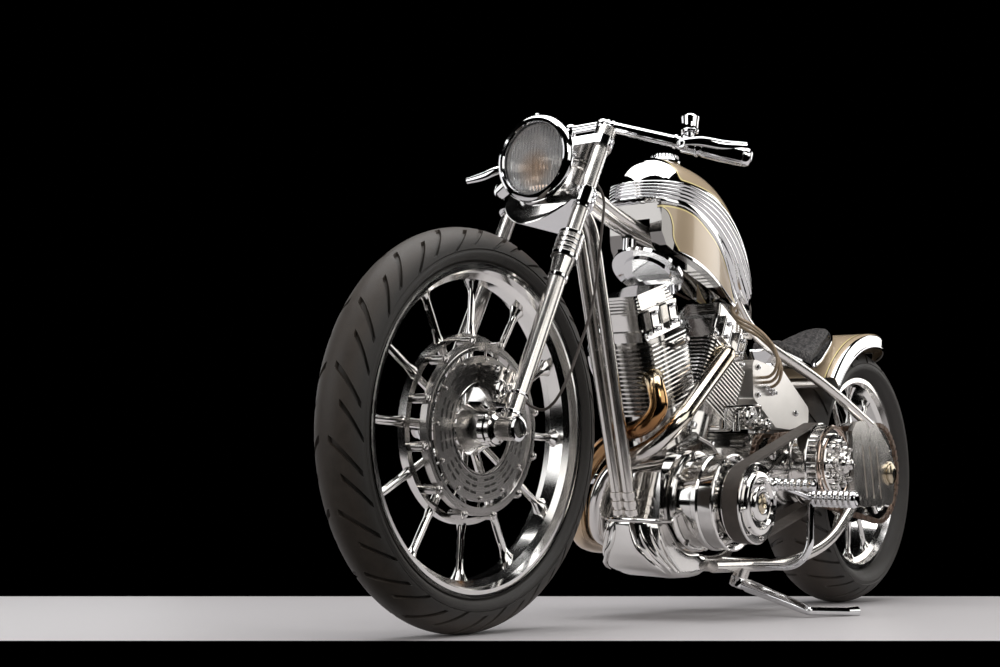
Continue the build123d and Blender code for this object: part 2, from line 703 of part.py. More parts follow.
with BuildPart() as gearbox:
    slab(((clutch_x - 80, clutch_z - 92), (clutch_x + 120, clutch_z - 108), (clutch_x + 140, clutch_z - 60),
          (clutch_x + 92, clutch_z + 60), (clutch_x - 66, clutch_z + 68)), 88, -88)
    rod((clutch_x, 0, clutch_z), (clutch_x, motor_plate_y - seat, clutch_z), 24)
    middle = chain_y + chain_width / 2
    rod((clutch_x, middle - sprocket_thick / 2, clutch_z), (clutch_x, middle + sprocket_thick / 2, clutch_z),
        front_sprocket_pitch - chain_height / 2 - running_gap)
keep(gearbox, "gearbox")

with BuildPart() as chain:
    sprockets = ((clutch_x, clutch_z, front_sprocket_pitch), (0, rear_radius, rear_sprocket_pitch))
    belt_loop(*sprockets, chain_height / 2, chain_y, chain_width)
    belt_loop(*sprockets, -chain_height / 2, chain_y, chain_width, mode=Mode.SUBTRACT)
keep(chain, "drive_chain")

# ---------------------------------------------------------------- frame
stay_front = Vector(535, 21, rear_radius + 291)
stay_bend = Vector(300, 96, rear_radius + 199)
stay_rear = Vector(118, 134, rear_radius + 115)
# columns: forward of the rear axle, above it
axle_plate_outline = ((214, -62), (232, 92), (206, 116), (98, 127), (34, 84), (-34, 31), (-40, 0), (-32, -56),
                      (-20, -76), (150, -88), (196, -84))
axle_plate_slots = 3


def to_side(point, side):
    return Vector(point.X, side * point.Y, point.Z)


stand_axis = Vector(-0.16, 0.25, 0.955).normalized()
with BuildPart() as frame:
    neck_start = on_fork(lower_clamp_low + clamp_thick + neck_gap, 0, -fork_offset)
    neck_end = on_fork(upper_clamp_low - neck_gap, 0, -fork_offset)
    neck_way = neck_end - neck_start
    rod(neck_start, neck_end, neck_radius)
    for side in (-1, 1):
        tube((neck_start + neck_way * 0.62 + to_left * side * backbone_half, Vector(1060, side * backbone_half, 778),
              Vector(840, side * backbone_half, 762), Vector(660, side * backbone_half, 740),
              to_side(stay_front, side), to_side(stay_bend, side), to_side(stay_rear, side)), tube_radius)
        tube((neck_start + neck_way * 0.3 + to_left * side * (downtube_half + 4),
              Vector(1186, side * (downtube_half + 3), 750), Vector(998, side * downtube_half, pan_top - 14)), tube_radius)
        tube((Vector(pan_rear - seat, side * rail_half, rail_z), Vector(470, side * rail_half, rail_z),
              Vector(330, side * 122, 150), Vector(190, side * 134, rear_radius - 67)), tube_radius)
        near = side * axle_plate_y
        far = side * (axle_plate_y + axle_plate_thick)
        slab([(x, rear_radius + above) for x, above in axle_plate_outline], max(near, far), min(near, far))
        for number in range(axle_plate_slots):
            slot_top = Vector(176 - number * 44, far, rear_radius + 62)
            slab([(slot_top.X - x, slot_top.Z - down) for x, down in ((0, 0), (8, 0), (42, 128), (34, 128))],
                 max(near, far) + 1, max(near, far) - 5, mode=Mode.SUBTRACT)
    rod((480, -rail_half, rail_z), (480, rail_half, rail_z), 11)
    rod((764, -rail_half, rail_z), (764, rail_half, rail_z), 11)
    rod((537, -21, stay_front.Z), (537, 21, stay_front.Z), 11)
    rod((tank_mount_x, -tunnel_half + seat, 766), (tank_mount_x, tunnel_half - seat, 766), 9)
    rod((stay_bend.X, -stay_bend.Y, stay_bend.Z), stay_bend, 11)
    slab([behind_axle(angle, radius) for angle, radius in (
        (33.6, fender_inner), (fender_front - 0.04, fender_inner), (fender_front - 0.04, fender_inner + fender_wall),
        (33.6, fender_inner + fender_wall + 6))], 60, -60)
    pivot = Vector(*stand_pivot)
    rod(pivot + stand_axis * (stand_eye_half + seat), pivot + stand_axis * 30, stand_eye_radius)
    slab(((950, 150), (1050, 150), (1050, pan_top + seat), (950, pan_top + seat)), 40, -40, mode=Mode.SUBTRACT)
    rod(neck_start - fork_up * 5, neck_end + fork_up * 5, stem_radius + running_gap, mode=Mode.SUBTRACT)
    for side in (-1, 1):
        rod(rear_axle + to_left * side * (axle_plate_y - 5), rear_axle + to_left * side * (axle_plate_y + 30),
            axle_radius + seat, mode=Mode.SUBTRACT)
keep(frame, "frame")

# ---------------------------------------------------------------- side stand
with BuildPart() as stand:
    rod(pivot - stand_axis * stand_eye_half, pivot + stand_axis * stand_eye_half, stand_eye_radius)
    rod(pivot, stand_ankle, stand_bar_radius)
    rod(stand_ankle, stand_toe, stand_bar_radius)
    with Locations(stand_ankle, stand_toe):
        Sphere(stand_bar_radius)
keep(stand, "side_stand")

# ---------------------------------------------------------------- tank
# columns: station forward, half width, bottom, level of the widest line, top
tank_nose = ((1034, 24, 836, 848, 872), (1021, 48, 790, 846, 900), (1000, 66, 732, 842, 921))
tank_sections = (
    (1000, 66, 732, 842, 921), (940, 84, 727, 836, 940), (860, 85, 713, 816, 938), (780, 72, 697, 786, 920),
    (705, 52, 681, 744, 876), (640, 36, 668, 706, 820), (578, 25, 656, 674, 748), (515, 15, 643, 650, 664),
)


def tank_section(x, half_width, bottom, widest, top):
    """Across the tank: a flat bottom, full sides and a round top."""
    foot = half_width * tank_foot
    with BuildSketch(Plane(origin=(x, 0, 0), x_dir=(0, 1, 0), z_dir=(1, 0, 0))) as face:
        with BuildLine():
            Line((-foot, bottom), (foot, bottom))
            ThreePointArc((foot, bottom), (half_width * 0.985, (bottom + widest) / 2), (half_width, widest))
            ThreePointArc((half_width, widest), (0, top), (-half_width, widest))
            ThreePointArc((-half_width, widest), (-half_width * 0.985, (bottom + widest) / 2), (-foot, bottom))
        make_face()
    return face.sketch


with BuildPart() as tank:
    loft([tank_section(*row) for row in tank_nose], ruled=False)
    loft([tank_section(*row) for row in tank_sections], ruled=False)
    with BuildSketch(Plane(origin=(1100, 0, 0), x_dir=(0, 1, 0), z_dir=(-1, 0, 0))):
        with BuildLine():
            Polyline((-arch_half, arch_spring), (-arch_half, 600), (arch_half, 600), (arch_half, arch_spring))
            ThreePointArc((arch_half, arch_spring), (0, arch_top), (-arch_half, arch_spring))
        make_face()
    extrude(amount=arch_depth, mode=Mode.SUBTRACT)
    slab(((1100, 690), (1100, 800), (1060, 800), (840, 790), (650, 764), (560, 700), (500, 600), (900, 600)),
         tunnel_half, -tunnel_half, mode=Mode.SUBTRACT)
    slab(((1100, 600), (1100, arch_top), (1008, arch_top), (1004, 770), (992, 744), (960, 727), (900, 600)),
         120, -120, mode=Mode.SUBTRACT)
keep(tank, "fuel_tank")

# ---------------------------------------------------------------- oil tank between the stays
with BuildPart() as oil_tank:
    slab(((620, 556), (470, 546), (330, 470), (330, 432), (430, 412), (500, 412), (612, 470)), 70, -70)
    fillet(oil_tank.edges().filter_by(Axis.Y), oil_tank_round)
    strap = stay_front + (stay_bend - stay_front) * 0.35
    for side in (-1, 1):
        rod((strap.X, side * strap.Y, 520), (strap.X, side * strap.Y, strap.Z - tube_radius - 3), 4)
keep(oil_tank, "oil_tank")

# ---------------------------------------------------------------- rear fender and its lamp
fender_outer = fender_inner + fender_wall
with BuildPart() as fender:
    skirt = fender_inner - fender_skirt
    inside = fender_half - fender_wall
    start = radians(fender_front)
    section_plane = Plane(origin=rear_axle, x_dir=(0, 1, 0), z_dir=(sin(start), 0, -cos(start)))
    with BuildSketch(section_plane):
        with BuildLine():
            Polyline((-fender_half, skirt), (-fender_half, fender_outer), (fender_half, fender_outer),
                     (fender_half, skirt), (inside, skirt), (inside, fender_inner), (-inside, fender_inner),
                     (-inside, skirt), close=True)
        make_face()
    revolve(axis=Axis(rear_axle, (0, -1, 0)), revolution_arc=fender_rear - fender_front)
keep(fender, "rear_fender")

with BuildPart() as tail_lamp:
    slab((behind_axle(fender_rear - 5, fender_outer + seat), behind_axle(fender_rear - 1, fender_outer + seat + 0.3),
          behind_axle(fender_rear - 1, fender_outer + 14), behind_axle(fender_rear - 4, fender_outer + 14)), 34, -34)
keep(tail_lamp, "tail_lamp")

# ---------------------------------------------------------------- seat
# the pan is straight and rests on the fender's crest, with its nose turned up over the stays
crest_angle = degrees(atan(1 / seat_fall))
crest_x, crest_z = behind_axle(crest_angle, fender_outer + seat + 0.1)
stay_way = stay_bend - stay_front


def over_stay(x, above):
    """A side-view point over the stays."""
    return (x, stay_front.Z + stay_way.Z / stay_way.X * (x - stay_front.X) + above)


def seat_line(x):
    return (x, crest_z + seat_fall * (crest_x - x))


under = [seat_line(seat_rear), seat_line(330), over_stay(372, 18), over_stay(seat_front, 19)]
# columns: name, lowest, highest, how far its edge stands out
for name, low, high, rim in (("seat_pan", 0, pan_wall, 0), ("seat_pad", pan_wall + seat, pan_wall + seat_thick, -6)):
    with BuildPart() as cushion:
        outline = [(x, z + low) for x, z in under] + [(x, z + high) for x, z in reversed(under)]
        slab(outline, seat_half_width, -seat_half_width)
        half = seat_half_width + rim
        rear = seat_rear - rim
        with BuildSketch(Plane.XY.offset(500)):
            with BuildLine():
                Polyline((330, half), (372, half - 10), (seat_front + rim, 38), (seat_front + rim, -38),
                         (372, 10 - half), (330, -half))
                ThreePointArc((330, -half), (215, -half * 0.79), (150, -half * 0.54))
                ThreePointArc((150, -half * 0.54), (rear, 0), (150, half * 0.54))
                ThreePointArc((150, half * 0.54), (215, half * 0.79), (330, half))
            make_face()
        extrude(amount=250, mode=Mode.INTERSECT)
    keep(cushion, name)

# ---------------------------------------------------------------- rear caliper
with BuildPart() as rear_caliper:
    slab((behind_axle(14, 78), behind_axle(14, 142), behind_axle(34, 148), behind_axle(54, 142), behind_axle(54, 78)),
         -rear_hub_half + 8, -axle_plate_y + seat)
    turned(((-rear_hub_half - 11, 60), (-rear_hub_half - 11, 130), (-rear_hub_half + 3, 130), (-rear_hub_half + 3, 60)),
           rear_axle, mode=Mode.SUBTRACT)
keep(rear_caliper, "rear_caliper")

# ---------------------------------------------------------------- foot controls
peg_x = 624.0
peg_z = 255.0
peg_root = 214.0               # the arms stand outside the belt
toe_x = 790.0
toe_z = 278.0
with BuildPart() as foot_controls:
    for side in (-1, 1):
        tube(((peg_x, side * (rail_half + tube_radius + seat), rail_z), (peg_x, side * peg_root, 112),
              (peg_x, side * peg_root, peg_z)), 8)
        rod((peg_x, side * (peg_root - 9), peg_z), (peg_x, side * 316, peg_z), 14)
        rod((peg_x, side * peg_root, peg_z), (toe_x, side * peg_root, toe_z), 6)
        rod((toe_x, side * (peg_root - 7), toe_z), (toe_x, side * 300, toe_z), 9)
keep(foot_controls, "foot_controls")

# ---------------------------------------------------------------- hoses
# from the front caliper, up behind the left fork leg, to the upper clamp
brake_hose_route = (
    (1455.8, 42, 408), (1432, 42, 408), (1414, 56, 386), (1406, 82, 376), (1408, 106, 390), (1398, 115, 414),
    (1372, 114, 450), (1346, 112, 498), (1324, 110, 536), (1303, 106, 572), (1287, 100, 610), (1270, 93, 668),
    (1248, 84, 740), (1232, 76, 790), on_fork(upper_clamp_low - 32, 50, -31),
    on_fork(upper_clamp_low - seat, 50, -31),
)
with BuildPart() as brake_hose:
    tube(brake_hose_route, brake_hose_radius)
keep(brake_hose, "brake_hose")

# three lines from the oil tank's left side, up round the rear rocker box to the backbone
oil_hose_route = (
    (556, 70.2, 498), (556, 90, 499), (558, 104, 510), (563, 114, 534), (570, 108, 564), (582, 88, 592),
    (596, 64, 613), (609, 44, 624), (615, 27, 636), (610, 20, 652.8), (598.8, 20, 664.7),
)
with BuildPart() as oil_hoses:
    for number in range(oil_hose_count):
        along = Vector(stay_front.X - 660, 0, stay_front.Z - 740).normalized() * -oil_hose_pitch * number
        tube([Vector(point) + along for point in oil_hose_route], oil_hose_radius)
keep(oil_hoses, "oil_hoses")

for name, route in (("brake hose", brake_hose_route), ("oil hose", oil_hose_route)):
    print(name, "bend radii:", [round(bend) for bend in widest_bends(route)])
print("parts written")
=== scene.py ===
# %% [markdown]
# # A chopper motorcycle, polished and parked
#
# The machine stands on its side stand on a pale floor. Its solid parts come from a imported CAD
# model, one object for each part, and they already have their true places and sizes. This file
# dresses them: it gives each part a finish, adds the small forms that CAD leaves out, and sets
# up the light and the camera.

import json
import math

import bmesh
import bpy
from mathutils import Matrix, Vector


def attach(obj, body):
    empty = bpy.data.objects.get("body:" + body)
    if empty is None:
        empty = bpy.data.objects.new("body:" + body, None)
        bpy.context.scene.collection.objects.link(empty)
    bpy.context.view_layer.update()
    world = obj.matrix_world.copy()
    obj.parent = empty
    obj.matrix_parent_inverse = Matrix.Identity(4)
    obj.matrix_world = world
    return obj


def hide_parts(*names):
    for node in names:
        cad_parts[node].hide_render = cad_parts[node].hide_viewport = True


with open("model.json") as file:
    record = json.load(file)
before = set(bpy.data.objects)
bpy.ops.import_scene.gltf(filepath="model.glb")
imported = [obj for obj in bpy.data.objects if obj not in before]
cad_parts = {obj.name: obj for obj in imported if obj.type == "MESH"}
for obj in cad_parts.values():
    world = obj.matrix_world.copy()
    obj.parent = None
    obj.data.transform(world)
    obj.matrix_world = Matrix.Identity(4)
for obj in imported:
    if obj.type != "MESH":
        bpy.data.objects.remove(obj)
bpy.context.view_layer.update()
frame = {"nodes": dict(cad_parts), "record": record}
nodes = frame["nodes"]
scene = bpy.context.scene
print(len(nodes), "solid parts loaded")

# %% [markdown]
# ## Two ways of standing
#
# A motorcycle is easiest to think about when it stands upright, with its wheels in line: forward
# is X, the rider's left is Y, up is Z, and the rear axle is over the origin. Parked, it leans a
# few degrees onto its stand. So each new piece is modelled upright, in millimetres as a workshop
# would draw it, and one matrix scales it to metres and leans it into place at the end. Using one
# matrix for all of them keeps the pieces together.

# %% The matrix that parks the upright machine
lean = math.radians(3.23)
overall_middle = Vector((0.7555, 0.02615, -0.0001525))
park = Matrix.Translation(-overall_middle) @ Matrix.Rotation(-lean, 4, "X") @ Matrix.Scale(0.001, 4)
stand_up = park.inverted()
front_axle = Vector((1502, 0, 340))
rear_axle = Vector((0, 0, 331))
ahead = Vector((1, 0, 0))
to_left = Vector((0, 1, 0))
upwards = Vector((0, 0, 1))
print("the lean moves a point a metre up by", round((park @ Vector((0, 0, 1000)))[1], 3), "m")

# %% [markdown]
# ## The camera
#
# The camera is low, in front and to the left, and looks slightly up, so the front wheel towers
# over the rest. Its place is found once, by matching wheel centres and hubs, and is then fixed.

# %% Camera
yaw = math.radians(38.135)
pitch = math.radians(9.295)
sight = Vector((-math.cos(pitch) * math.cos(yaw), -math.cos(pitch) * math.sin(yaw), math.sin(pitch)))
camera_data = bpy.data.cameras.new("camera")
camera_data.sensor_width = 36.0
camera_data.lens = 36.0 * 1280.2 / 1000
camera = bpy.data.objects.new("camera", camera_data)
scene.collection.objects.link(camera)
camera.location = Vector((3.166, 1.391, 0.149)) - overall_middle
camera.rotation_euler = sight.to_track_quat("-Z", "Y").to_euler()
scene.camera = camera
print("lens", round(camera_data.lens, 2), "mm")

# %% [markdown]
# ## Writing materials as expressions
#
# A material is a graph of nodes, and a graph is slow to read as code. The class below wraps one
# socket and gives it Python's own operators, so that `1 - mask` or `noise * 0.2 + 0.1` adds the
# Math nodes it needs. Everything else goes through one method that takes a node's type, its
# settings and what feeds its sockets.

# %% A socket with Python's operators
class Signal:
    """A socket of a material's graph that can be used in an expression."""

    def __init__(self, tree, socket):
        self.tree = tree
        self.socket = socket

    def math(self, operation, *values):
        node = self.tree.nodes.new("ShaderNodeMath")
        node.operation = operation
        for slot, value in zip(node.inputs, values):
            feed(self.tree, slot, value)
        return Signal(self.tree, node.outputs[0])

    def __add__(self, other):
        return self.math("ADD", self, other)

    __radd__ = __add__

    def __mul__(self, other):
        return self.math("MULTIPLY", self, other)

    __rmul__ = __mul__

    def __sub__(self, other):
        return self.math("SUBTRACT", self, other)

    def __rsub__(self, other):
        return self.math("SUBTRACT", other, self)

    def __truediv__(self, other):
        return self.math("DIVIDE", self, other)

    def __gt__(self, other):
        return self.math("GREATER_THAN", self, other)

    def __lt__(self, other):
        return self.math("LESS_THAN", self, other)

    def __abs__(self):
        return self.math("ABSOLUTE", self)

    def wave(self, length):
        """From -1 to 1 and back over each length."""
        return self.math("SINE", self * (2 * math.pi / length))

    def least(self, other, rounding=0.0):
        """The smaller of two, with a rounded corner where they cross."""
        return self.math("SMOOTH_MIN", self, other, rounding)

    def between(self, low, high):
        """1 from low to high, and 0 elsewhere."""
        return (self > low) * (self < high)


# %% [markdown]
# The second class is one material while it is built. It holds the graph and the shader at its
# end, and each method adds one kind of node and hands back the socket that comes out of it.

# %% A material under construction
def feed(tree, slot, value):
    """Put a value, a colour or another socket into a socket."""
    if isinstance(value, Signal):
        tree.links.new(value.socket, slot)
    elif isinstance(value, (tuple, list)) and len(value) == 3 and slot.type == "RGBA":
        slot.default_value = (*value, 1.0)
    else:
        slot.default_value = value


class Finish:
    """A material under construction: its graph, and the shader that its surface goes to."""

    def __init__(self, name):
        self.material = bpy.data.materials.new(name)
        self.material.use_nodes = True
        self.tree = self.material.node_tree
        self.shader = self.tree.nodes["Principled BSDF"]

    def node(self, kind, settings=(), output=0, **sockets):
        """Add a node: settings first, then its sockets, named with _ for each space."""
        made = self.tree.nodes.new("ShaderNode" + kind)
        for key, value in dict(settings).items():
            setattr(made, key, value)
        for key, value in sockets.items():
            feed(self.tree, made.inputs[key.replace("_", " ")], value)
        return Signal(self.tree, made.outputs[output])

    def surface(self, **sockets):
        for key, value in sockets.items():
            feed(self.tree, self.shader.inputs[key.replace("_", " ")], value)

    def place(self):
        """Where a point of the surface is, in metres, parked."""
        return self.node("TexCoord", output="Object")

    def upright(self):
        """The same point in millimetres on the upright machine, as forward, left and up."""
        turned = self.node("Mapping", Vector=self.place(), Location=stand_up.to_translation(),
                           Rotation=(lean, 0, 0), Scale=(1000, 1000, 1000))
        return [self.node("SeparateXYZ", output=axis, Vector=turned) for axis in "XYZ"]

    def noise(self, scale, detail=4.0, roughness=0.55, where=None):
        return self.node("TexNoise", Vector=where or self.place(), Scale=scale, Detail=detail,
                         Roughness=roughness)

    def curve(self, along, points):
        """A smooth curve through (along, value) points, which are in order of along."""
        first, last = points[0][0], points[-1][0]
        low = min(value for _, value in points)
        high = max(value for _, value in points)
        made = self.tree.nodes.new("ShaderNodeFloatCurve")
        line = made.mapping.curves[0]
        for _ in points[2:]:
            line.points.new(0.5, 0.5)
        for spot, (where, value) in zip(line.points, points):
            spot.location = ((where - first) / (last - first), (value - low) / (high - low))
        made.mapping.update()
        feed(self.tree, made.inputs["Value"], (along - first) / (last - first))
        return Signal(self.tree, made.outputs[0]) * (high - low) + low

    def ramp(self, factor, stops):
        """Colours along a factor: stops are (position, colour)."""
        made = self.tree.nodes.new("ShaderNodeValToRGB")
        made.color_ramp.elements.remove(made.color_ramp.elements[1])
        for number, (position, colour) in enumerate(stops):
            stop = made.color_ramp.elements[0] if number == 0 else made.color_ramp.elements.new(position)
            stop.position = position
            stop.color = (*colour, 1.0)
        feed(self.tree, made.inputs["Fac"], factor)
        return Signal(self.tree, made.outputs["Color"])

    def mix(self, factor, first, second):
        """Blend two colours."""
        made = self.tree.nodes.new("ShaderNodeMix")
        made.data_type = "RGBA"
        feed(self.tree, made.inputs["Factor"], factor)
        feed(self.tree, made.inputs[6], first)
        feed(self.tree, made.inputs[7], second)
        return Signal(self.tree, made.outputs[2])

    def bump(self, height, strength, distance=0.001):
        self.surface(Normal=self.node("Bump", Height=height, Strength=strength, Distance=distance))


# %% [markdown]
# ## Bright metals
#
# Almost every part is polished: nickel and chrome plating, and bare aluminium buffed to nearly a
# mirror. A perfect mirror looks false. Real polish has faint wipe marks and soft ripples, so the
# roughness wanders slightly and a weak, large bump bends the reflections. Each metal has its own
# tint: chrome is cold, nickel is warm, and aluminium is white and a little duller. Cast parts
# get a fine grain on top.

# %% Polished metals
def bright_metal(name, colour, smooth, rough, ripple=0.02, grain=0.0, tarnish=0.1):
    """A polished metal whose roughness wanders from smooth to rough."""
    finish = Finish(name)
    wipes = finish.noise(23.0, detail=6.0)
    stains = finish.noise(60.0, detail=8.0, roughness=0.7)
    dull = tuple(part * (1 - tarnish) for part in colour)
    finish.surface(Base_Color=finish.mix(stains, colour, dull), Metallic=1.0,
                   Roughness=wipes * (rough - smooth) + smooth)
    waves = finish.noise(9.0, detail=2.0)
    if grain:
        waves = waves + finish.noise(900.0, detail=2.0) * grain
    finish.bump(waves, ripple, distance=0.004)
    return finish.material


chrome = bright_metal("chrome_plate", (0.86, 0.86, 0.87), 0.02, 0.1)
nickel = bright_metal("nickel_plate", (0.84, 0.81, 0.775), 0.14, 0.34)
satin_nickel = bright_metal("satin_nickel", (0.8, 0.775, 0.745), 0.26, 0.4)
polished_alloy = bright_metal("polished_alloy", (0.88, 0.865, 0.845), 0.05, 0.2)
engine_alloy = bright_metal("engine_alloy", (0.8, 0.785, 0.765), 0.03, 0.13, ripple=0.08, tarnish=0.25)
cast_alloy = bright_metal("cast_alloy", (0.78, 0.76, 0.735), 0.1, 0.26, ripple=0.06, grain=0.05)
bright_steel = bright_metal("bright_steel", (0.7, 0.68, 0.66), 0.1, 0.24)
brass = bright_metal("brass", (0.66, 0.57, 0.42), 0.14, 0.3, tarnish=0.35)
copper = bright_metal("copper_lip", (0.82, 0.66, 0.56), 0.1, 0.25, tarnish=0.3)
print("nine metals made")

# %% [markdown]
# The chain's steel is the exception: dark, dry and brown with rust. Rust is not metallic, so the
# metal is switched off where the noise says that rust sits.

# %% Rusty chain steel
rusty = Finish("chain_steel")
spots = rusty.noise(140.0, detail=8.0, roughness=0.7)
rust = (spots - 0.42) * 4.0
rusty.surface(Base_Color=rusty.mix(rust.math("MINIMUM", rust, 1.0), (0.18, 0.14, 0.11), (0.12, 0.045, 0.02)),
              Metallic=1 - (spots > 0.55), Roughness=spots * 0.4 + 0.25)
rusty.bump(spots, 0.4)
chain_steel = rusty.material

# %% [markdown]
# ## Heat on the pipes
#
# An exhaust pipe takes its colours from heat: straw and bronze where the gas is hottest, at the
# port, then purple, and plain metal further on. The front pipe is bronze along its whole upper
# run; the rear one is chrome with a straw tint at its top. Heat falls as the pipe goes down, so
# the height of a point, with some noise, chooses its colour from a ramp.

# %% Two heated pipes
def heated(name, low, high, stops):
    """A polished pipe whose tint follows height, from low to high in millimetres."""
    finish = Finish(name)
    height = finish.upright()[2]
    wander = finish.noise(14.0, detail=5.0) * 60 - 30
    heat = ((height + wander) - low) / (high - low)
    finish.surface(Base_Color=finish.ramp(heat, stops), Metallic=1.0,
                   Roughness=finish.noise(40.0, detail=6.0) * 0.14 + 0.07)
    finish.bump(finish.noise(12.0, detail=2.0), 0.03, distance=0.004)
    return finish.material


front_pipe_metal = heated("bronzed_pipe", 130, 470, (
    (0.0, (0.66, 0.56, 0.46)), (0.2, (0.56, 0.4, 0.24)), (0.5, (0.46, 0.28, 0.14)),
    (0.68, (0.3, 0.15, 0.07)), (0.82, (0.42, 0.22, 0.085)), (0.93, (0.56, 0.36, 0.17)),
    (1.0, (0.76, 0.64, 0.46))))
rear_pipe_metal = heated("straw_pipe", 130, 560, (
    (0.0, (0.75, 0.73, 0.72)), (0.5, (0.8, 0.77, 0.74)), (0.66, (0.8, 0.72, 0.6)), (0.8, (0.8, 0.76, 0.7)),
    (0.93, (0.66, 0.54, 0.42)), (1.0, (0.76, 0.68, 0.56))))
print("pipes tinted")

# %% [markdown]
# ## Brake steel
#
# The brake rotor is ground flat, so its polish runs in circles, and it is pierced by groups of
# short slots. The distance from the axle and the angle round it come from the point's place,
# and the slots are sunk with the bump and coloured near-black: a painted shade that stands in
# for the dark inside the holes.

# %% Slotted brake steel
slot_groups = 12
slot_circles = (86, 97, 108)
slot_half_width = 2.2
brake = Finish("brake_steel")
forward, left, up = brake.upright()
across = forward - front_axle.x
over = up - front_axle.z
from_axle = across.math("SQRT", across * across + over * over)
turns = over.math("ARCTAN2", across, over) * (slot_groups / (2 * math.pi))
in_group = abs(turns.math("FRACT", turns) - 0.5)
inner, middle, outer = [abs(from_axle - circle) < slot_half_width for circle in slot_circles]
slots_with_painted_shade = (in_group < 0.3) * (inner + middle + outer)
slots_with_painted_shade = slots_with_painted_shade * (1 - (in_group < 0.03))
rings = brake.noise(0.9, detail=6.0, where=brake.node("CombineXYZ", X=from_axle, Y=left * 0.02, Z=0.0))
# painted shade: the slots get a near-black colour in place of the dark seen through the holes
brake.surface(Base_Color=brake.mix(slots_with_painted_shade, (0.58, 0.56, 0.54), (0.02, 0.018, 0.016)),
              Metallic=1 - slots_with_painted_shade * 0.6, Roughness=rings * 0.16 + slots_with_painted_shade * 0.4 + 0.14)
brake.bump(rings * 0.15 - slots_with_painted_shade, 0.35)
brake_steel = brake.material

# %% [markdown]
# ## Rubber, leather and glass
#
# Rubber is never black: dust and age make it a warm dark grey. The tread is browner and duller
# than the sidewall, so the tyre's colour follows the distance from its axle. Leather gets its
# pebbles from a Voronoi pattern, whose cells are raised like the grain of a hide.

# %% Tyre rubber
def tyre_finish(name, axle, radius):
    finish = Finish(name)
    forward, left, up = finish.upright()
    out = forward - axle.x
    high = up - axle.z
    reach = out.math("SQRT", out * out + high * high)
    toward_tread = (reach - (radius - 34)) / 20
    worn = toward_tread.math("MINIMUM", toward_tread, 1.0)
    dust = finish.noise(48.0, detail=9.0, roughness=0.7)
    wall = finish.mix(dust, (0.012, 0.0105, 0.0095), (0.034, 0.03, 0.026))
    tread = finish.mix(dust, (0.022, 0.016, 0.012), (0.06, 0.047, 0.037))
    finish.surface(Base_Color=finish.mix(worn.math("MAXIMUM", worn, 0.0), wall, tread),
                   Roughness=dust * 0.25 + 0.45)
    finish.bump(finish.noise(420.0, detail=6.0), 0.25)
    return finish.material


front_tyre_rubber = tyre_finish("front_tyre_rubber", front_axle, 340)
rear_tyre_rubber = tyre_finish("rear_tyre_rubber", rear_axle, 331)


def soft_black(name, colour, low, high, scale, relief):
    """Rubber with a fine grain, slightly lighter where it is worn."""
    finish = Finish(name)
    grain = finish.noise(scale, detail=8.0)
    lighter = tuple(part * 1.7 for part in colour)
    finish.surface(Base_Color=finish.mix(grain, colour, lighter), Roughness=grain * (high - low) + low)
    finish.bump(grain, relief)
    return finish.material


hose_rubber = soft_black("black_hose", (0.028, 0.02, 0.016), 0.3, 0.5, 300.0, 0.1)

# %% Toothed belt, braided hose and leather
belting = Finish("belt_rubber")
forward, left, up = belting.upright()
weave = abs(left.wave(4.0)) * 0.3 + belting.noise(260.0, detail=6.0)
belting.surface(Base_Color=belting.mix(belting.noise(50.0), (0.028, 0.022, 0.018), (0.075, 0.06, 0.05)),
                Roughness=belting.noise(90.0) * 0.25 + 0.4)
belting.bump(weave, 0.3)
belt_rubber = belting.material

braided = Finish("braided_hose")
forward, left, up = braided.upright()
braid = (forward + up + left).wave(2.6) * (forward - up + left).wave(2.6)
braided.surface(Base_Color=braided.mix(braid * 0.5 + 0.5, (0.22, 0.15, 0.09), (0.52, 0.42, 0.3)),
                Metallic=0.5, Roughness=0.42)
braided.bump(braid, 0.4)

hide = Finish("leather")
pebbles = hide.node("TexVoronoi", {"feature": "F1"}, Vector=hide.place(), Scale=150.0)
creases = hide.noise(34.0, detail=8.0, roughness=0.65)
hide.surface(Base_Color=hide.mix(pebbles * 1.5, (0.085, 0.074, 0.072), (0.008, 0.007, 0.007)),
             Roughness=creases * 0.3 + 0.38)
hide.bump(creases * 0.3 - pebbles, 0.9, distance=0.002)
leather = hide.material

# %% Lamp glass and red lens
fluted = Finish("lamp_glass")
forward, left, up = fluted.upright()
# painted glow: the glass's colour turns warm round a spot near the lamp's middle, as if the bulb shone,
# though the lamp gives no light
glow_centre_height = 824
middle = 1 - ((left * left + (up - glow_centre_height) * (up - glow_centre_height)) / 1600.0)
painted_glow = middle.math("MAXIMUM", middle, 0.0)
fluted.surface(Base_Color=fluted.mix(painted_glow, (0.96, 0.96, 0.97), (0.9, 0.66, 0.48)), Roughness=0.04,
               Transmission_Weight=0.88, IOR=1.45)
fluted.bump(left.wave(7.0), 0.3, distance=0.002)
lamp_glass = fluted.material

ruby = Finish("red_lens")
forward, left, up = ruby.upright()
ruby.surface(Base_Color=ruby.mix(ruby.noise(30.0), (0.3, 0.006, 0.006), (0.5, 0.012, 0.01)), Roughness=0.1,
             Coat_Weight=0.6)
ruby.bump(left.wave(5.0) * up.wave(5.0), 0.3)
print("soft and clear finishes made")

# %% [markdown]
# ## Painted panels
#
# The tank and the fender are cream, with panels outlined by a light yellow pinstripe and a thin
# dark line beside it. A signwriter pulls such lines at an even distance from the panel's edges,
# so the paint works out that distance: each edge is a curve of height against station, and the
# least of the distances to them is how far inside the panel a point lies. Both sides of the tank
# share the curves, because they use only the station and the height. Outside the panels, and on
# the walls inside its arch, the tank is bare and polished; below 832 mm that bare metal is given
# a dark colour, a painted shade for the darkness it reflects there.

